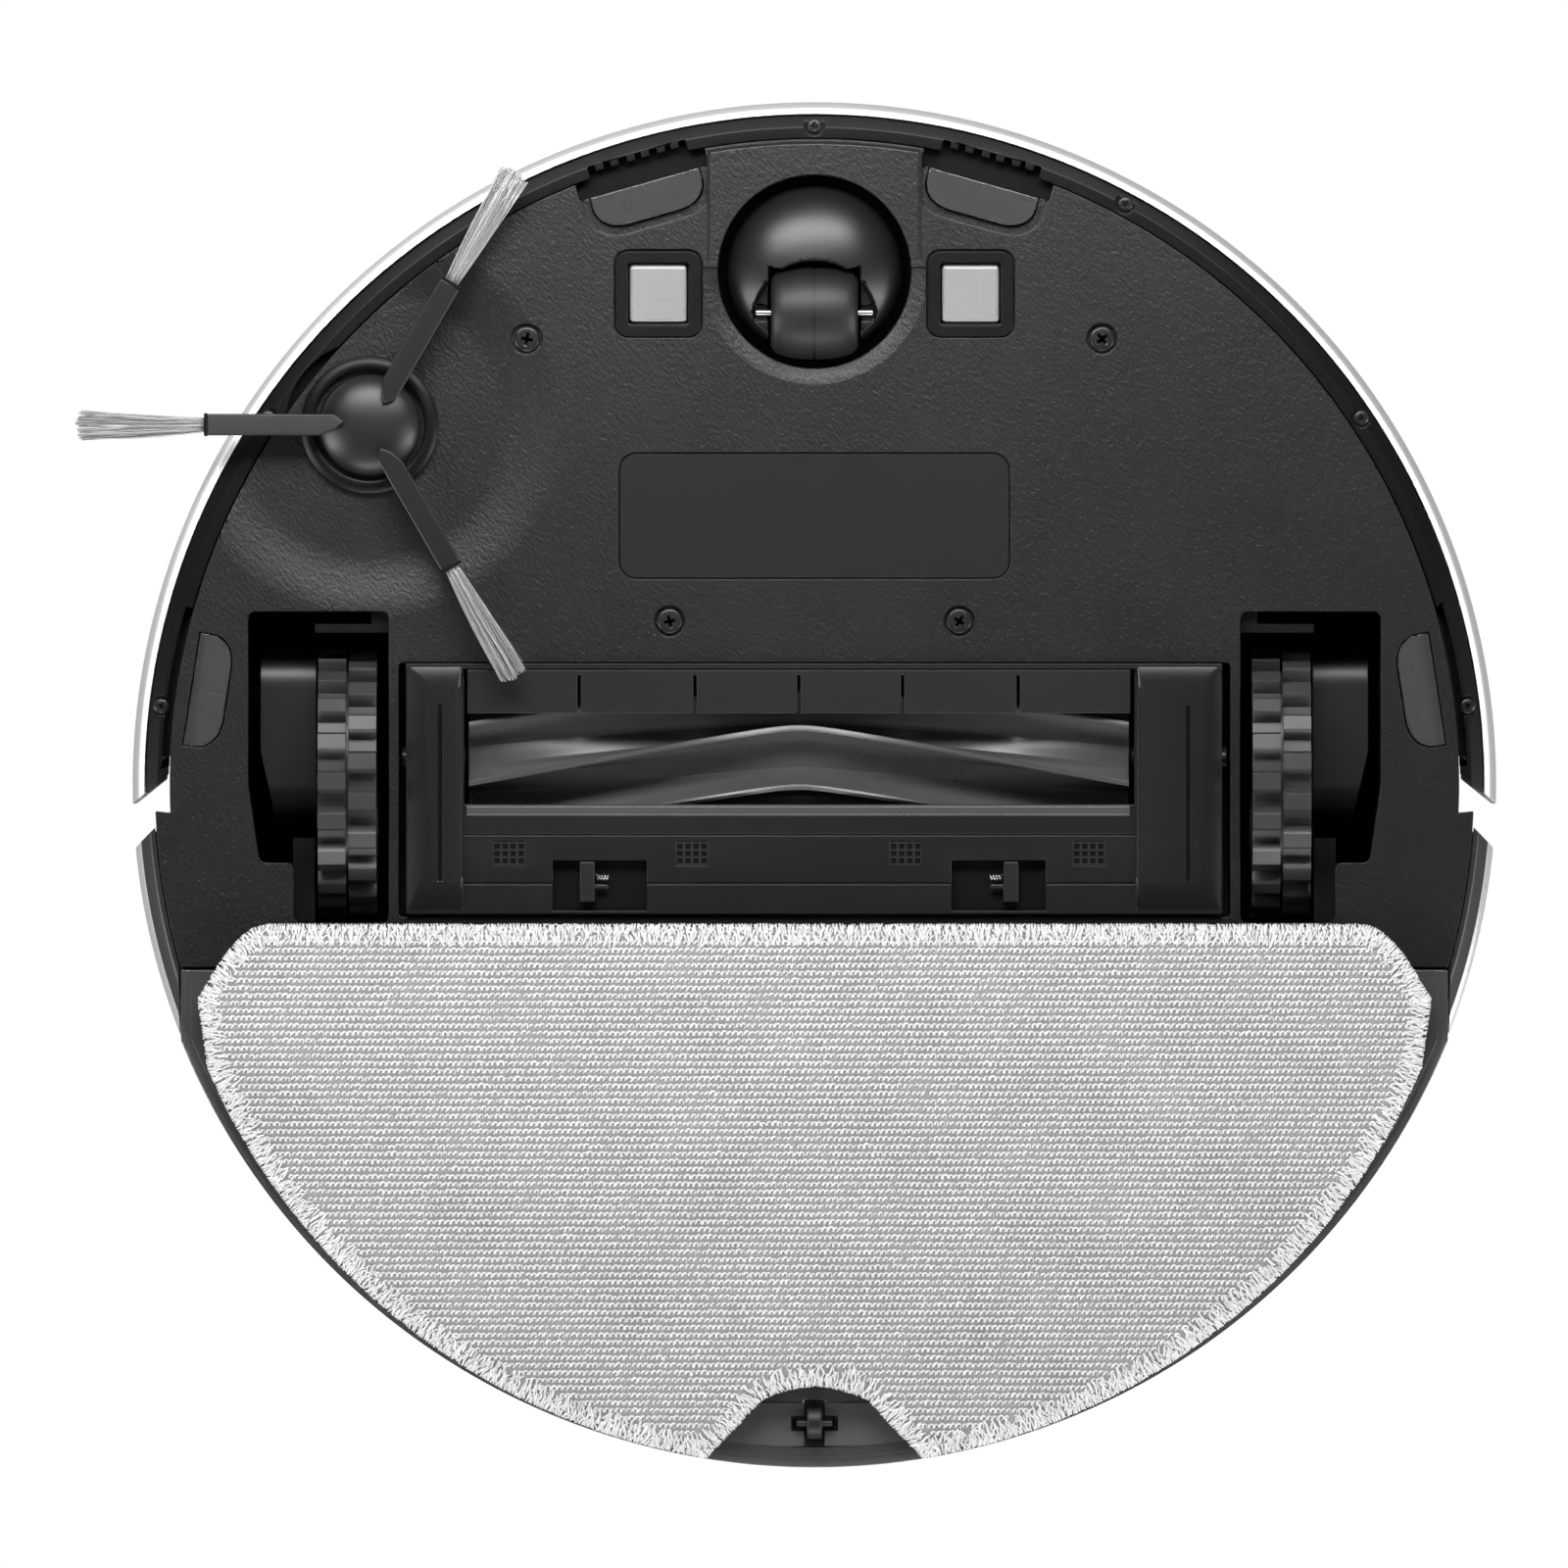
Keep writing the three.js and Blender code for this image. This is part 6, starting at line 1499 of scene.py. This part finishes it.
class VACUUM_OT_water_tank(PieceOperator, bpy.types.Operator):
    """Models the smoky water tank with its rear roller"""

    bl_idname = "vacuum.water_tank"
    bl_label = "Water tank"

    def build(self, sizes):
        tank = kept(slab("smoky_tank", tank_plan(0), TANK_Z, TANK_TOP),
                    disc("tool", BODY_R, 0, 80, 0, 0, FINE))
        y, z = middle("rear_roller").y, middle("rear_roller").z
        room = kept(slab("tool", tank_plan(-TANK_WALL), TANK_Z + TANK_WALL, TANK_TOP - TANK_WALL),
                    disc("tool", BODY_R - TANK_WALL, 0, 80, 0, 0, FINE))
        cut(room, block("tool", -8, 8, y - 8, y + 8, 0, 80))
        cut(
            tank, room, disc("tool", 9, TANK_TOP - 5, 80, 0, -110, 64),
            block("tool", -2.65, 2.65, y - 6, y + 6, -1, z + 6),
            block("tool", -6, 6, y - 2, y + 2, -1, z + 3.6),
            block("tool", -4.85, 4.85, y - 4.6, y + 4.6, -1, z + 5),
        )
        done(softened(tank, 0.45, 3, sharp=35), "mop_module", "smoke clear", "smoke_clear", "water_tank")
        panel = slab("rear_panel", arc(BODY_R - 5.2, -98.4, -81.6, 24) + [(22, -158.5), (-22, -158.5)],
                     TANK_Z - 0.3, TANK_Z)
        cut(panel, block("tool", -2.65, 2.65, y - 6, y + 6, -1, 20),
            block("tool", -6, 6, y - 2, y + 2, -1, 20))
        done(softened(panel, 0.1), "mop_module", "mop back", "mop_back")
        half = (high("rear_roller") - low("rear_roller")).x / 2
        wheel = rod("tail_roller", 3.95, -1.95, 1.95, y, z, 64)
        softened(wheel, 0.5, 3)
        pin = softened(rod("pin", 0.75, -half, half, y, z, 24), 0.15)
        roller = joined("tail_roller", [wheel, pin])
        done(roller, "rear_wheel", "castor rubber", "brush_rubber", "rear_roller")


class VACUUM_OT_mop_cloth(PieceOperator, bpy.types.Operator):
    """Knits the mop's looped cloth and its overlocked hem"""

    bl_idname = "vacuum.mop_cloth"
    bl_label = "Mop cloth"

    def loop(self):
        """One knitted loop, closed towards +X."""
        free()
        bpy.ops.mesh.primitive_circle_add(
            vertices=5, radius=0.29 * MM, fill_type="NOTHING", rotation=(math.pi / 2, 0, 0)
        )
        unit = named("unit")
        unit.data.transform(Matrix.Translation((0.62 * MM, 0, 0)))
        edit(unit)
        bpy.ops.mesh.spin(steps=7, angle=math.radians(256), center=(0, 0, 0), axis=(0, 0, 1))
        free()
        unit.data.transform(Matrix.Rotation(-math.radians(128), 4, "Z"))
        points = read_points(unit)
        points[:, 1] *= 0.96
        points[:, 2] += 0.85 - 0.42 * np.clip(points[:, 0] / 0.62, -1, 1)
        place_points(unit, points)
        return unit

    def build(self, sizes):
        rng = np.random.default_rng(7)
        # The cloth's ground under the loops, finished in painted shade.
        ground = slab("cloth_ground", mop_outline(1.2), 1.0, high("mop_pad").z)
        softened(ground, 0.6, 2, sharp=50)
        done(ground, "mop_module", "mop cloth in painted shade", "mop_cloth", "mop_pad")
        edge = np.array(mop_outline(sizes.hem_width - 0.6, 160))
        unit = self.loop()
        shape = read_points(unit)
        places, shades = [], []
        row_count = int(150 / sizes.row_pitch)
        for row in range(row_count):
            y = high("mop_pad").y - 5.4 - row * sizes.row_pitch
            xs = np.arange(-160, 160, sizes.loop_pitch) + (row % 2) * 0.5 * sizes.loop_pitch
            for x in xs:
                if not inside(edge, x, y):
                    continue
                wave = (math.sin(0.21 * x + 1.7 * math.sin(0.13 * y)) + math.sin(0.17 * y - 0.09 * x)
                        + math.sin(0.47 * x + 0.31 * y)) / 3
                turn = math.radians(rng.normal(0, 8) + 12 * wave)
                size = 1 + rng.normal(0, 0.07)
                narrow = 1 - 0.16 * max(0, wave)
                cos, sin = math.cos(turn), math.sin(turn)
                px, py = shape[:, 0] * size * narrow, shape[:, 1] * size
                moved = np.column_stack((
                    x + px * cos - py * sin + rng.normal(0, 0.08),
                    y + px * sin + py * cos + rng.normal(0, 0.05),
                    np.clip(shape[:, 2] + rng.normal(0, 0.06) + 0.12 * wave, 0.05, 3),
                ))
                places.append(moved)
                shades.append(np.clip(0.6 + 0.15 * rng.normal() + 0.2 * wave, 0, 1))
        pile = repeated(unit, "cloth_loops", places, shades)
        done(pile, "mop_module", "mop cloth", "mop_cloth")
        self.hem(sizes, rng)

    def hem(self, sizes, rng):
        """Threads laid side by side across the cloth's edge."""
        outer = resampled(mop_outline(0.25, 200), 0.78)
        inner_line = np.array(mop_outline(sizes.hem_width, 200))
        unit = slab("unit", [(0, -1), (1, 0), (0, 1), (-1, 0)], 0, 1, 6)
        shape = read_points(unit)
        places, shades = [], []
        count = len(outer)
        for i, point in enumerate(outer):
            ahead, behind = outer[(i + 1) % count], outer[i - 1]
            along = ahead - behind
            length = np.linalg.norm(along)
            if length < 1e-6:
                continue
            along /= length
            inward = np.array((-along[1], along[0]))
            if not inside(inner_line, *(point + inward * (sizes.hem_width + 1.5))):
                inward = -inward
                if not inside(inner_line, *(point + inward * (sizes.hem_width + 1.5))):
                    nearest = inner_line[np.argmin(np.linalg.norm(inner_line - point, axis=1))]
                    inward = (nearest - point) / max(np.linalg.norm(nearest - point), 1e-6)
            across = np.array((-inward[1], inward[0]))
            for layer in range(4):
                reach = sizes.hem_width * rng.uniform(0.3, 0.62)
                skew = rng.normal(0, 0.9)
                r = rng.uniform(0.22, 0.33)
                start = (0, 1.5, 2.8, 0)[layer] + abs(rng.normal(0, 0.25))
                t = shape[:, 2]
                centre = (point + inward * start)[None, :] + np.outer(t * reach, inward)
                centre += np.outer(skew * t + 0.25 * rng.normal() * np.sin(math.pi * t), across)
                lift = 0.6 + rng.normal(0, 0.14)
                bulge = (1.9 if start < 1 else 0.6) * (1 - np.clip(t / 0.3, 0, 1)) ** 2
                bulge = bulge + 0.7 * np.clip((t - 0.75) / 0.25, 0, 1)
                xy = centre + np.outer(shape[:, 0] * r, across)
                places.append(np.column_stack((xy, np.clip(lift + bulge + shape[:, 1] * r, 0.05, 3.4))))
                shades.append(rng.uniform(0.1, 0.75))
        hem = repeated(unit, "cloth_hem", places, shades)
        done(hem, "mop_module", "mop cloth", "mop_cloth")


def inside(outline, x, y):
    """Whether a place lies within a closed outline."""
    x0, y0 = outline[:, 0], outline[:, 1]
    x1, y1 = np.roll(x0, -1), np.roll(y0, -1)
    spans = (y0 > y) != (y1 > y)
    with np.errstate(divide="ignore", invalid="ignore"):
        crossing = x0 + (y - y0) * (x1 - x0) / (y1 - y0)
    return bool(np.count_nonzero(spans & (x < crossing)) % 2)


def resampled(outline, pitch):
    """Evenly spaced places along a closed outline."""
    points = np.array(list(outline) + [outline[0]])
    lengths = np.concatenate(([0], np.cumsum(np.linalg.norm(np.diff(points, axis=0), axis=1))))
    marks = np.linspace(0, lengths[-1], int(lengths[-1] / pitch), endpoint=False)
    return np.column_stack([np.interp(marks, lengths, points[:, k]) for k in range(2)])


class VACUUM_OT_turret(PieceOperator, bpy.types.Operator):
    """Models the round sensor turret on the deck"""

    bl_idname = "vacuum.turret"
    bl_label = "Turret"

    def build(self, sizes):
        r, base, top = 38, low("lidar_shroud").z, high("lidar_shroud").z
        y = middle("lidar_shroud").y
        ring = [(r - 5, base), (r, base), (r, base + 3), (r - 0.7, base + 3.7), (r - 5, base + 3.7)]
        foot = spun("turret_cage", ring, 0, y, 128)
        crown = [(0, top - 3), (r - 0.6, top - 3), (r, top - 2.4), (r, top - 1.7), (r - 0.5, top - 0.6),
                 (r - 1.7, top - 0.05), (r - 6, top), (r - 6.6, top - 0.3), (r - 7.2, top), (0, top)]
        cap = spun("tool", crown, 0, y, 128)
        posts = []
        for i in range(6):
            post = block("tool", r - 4.5, r - 1, -3, 3, base + 2.7, top - 2)
            turned_about(post, Matrix.Rotation(math.radians(60 * i + 30), 4, "Z"))
            posts.append(turned_about(post, Matrix.Translation((0, y * MM, 0))))
        fused(foot, cap, *posts)
        softened(foot, 0.2, sharp=45, smooth=32)
        done(foot, "chassis", "turret black", "turret_black", "lidar_shroud")
        rotor = from_node("lidar_rotor", "spinning_sensor", 0.4, smooth=42)
        done(rotor, "lidar", "turret black", "turret_black", "lidar_rotor")


class VACUUM_OT_frame_finishes(PieceOperator, bpy.types.Operator):
    """Makes all the finishes, and gives the kept frame pieces theirs"""

    bl_idname = "vacuum.frame_finishes"
    bl_label = "Frame finishes"

    def build(self, sizes):
        make_finishes()
        for name, look in (
            ("chassis_tray", "smooth black"), ("brush_housing", "inner grey"),
            ("battery_pack", "battery wrap"), ("main_board", "circuit board"),
            ("brush_motor", "motor can"), ("side_brush_motor", "motor can"), ("dustbin", "smoke clear"),
            ("fan_housing", "inner grey"), ("fan_impeller", "inner grey"),
            ("drive_motor_right", "motor can"), ("drive_motor_left", "motor can"),
            ("wheel_hub_right", "gearbox grey"), ("wheel_hub_left", "gearbox grey"),
            ("mop_holder", "mop back"), ("lidar_base", "inner grey"),
        ):
            keep(name, look)


PIECES = (
    VACUUM_OT_frame_finishes, VACUUM_OT_base_plate, VACUUM_OT_casings, VACUUM_OT_castor,
    VACUUM_OT_drive_wheels, VACUUM_OT_main_brush, VACUUM_OT_brush_guard, VACUUM_OT_side_brush,
    VACUUM_OT_sensors, VACUUM_OT_water_tank, VACUUM_OT_mop_cloth, VACUUM_OT_turret,
)


class VACUUM_PT_panel(bpy.types.Panel):
    """The add-on's settings and buttons"""

    bl_idname = "VACUUM_PT_panel"
    bl_label = "Robot vacuum"
    bl_space_type = "VIEW_3D"
    bl_region_type = "UI"
    bl_category = "Robot vacuum"

    def draw(self, context):
        for group in (context.scene.vacuum_sizes, context.scene.vacuum_looks):
            box = self.layout.box()
            for key in type(group).__annotations__:
                box.prop(group, key)
        for operator in (*PIECES, VACUUM_OT_stage):
            self.layout.operator(operator.bl_idname)


CLASSES = (VacuumSizes, VacuumLooks, *PIECES, VACUUM_OT_stage, VACUUM_PT_panel)


def register():
    for kind in CLASSES:
        bpy.utils.register_class(kind)
    bpy.types.Scene.vacuum_sizes = bpy.props.PointerProperty(type=VacuumSizes)
    bpy.types.Scene.vacuum_looks = bpy.props.PointerProperty(type=VacuumLooks)


def unregister():
    del bpy.types.Scene.vacuum_looks
    del bpy.types.Scene.vacuum_sizes
    for kind in reversed(CLASSES):
        bpy.utils.unregister_class(kind)


def main():
    register()
    for operator in (*PIECES, VACUUM_OT_stage):
        group, name = operator.bl_idname.split(".")
        getattr(getattr(bpy.ops, group), name)()


if __name__ == "__main__":
    main()
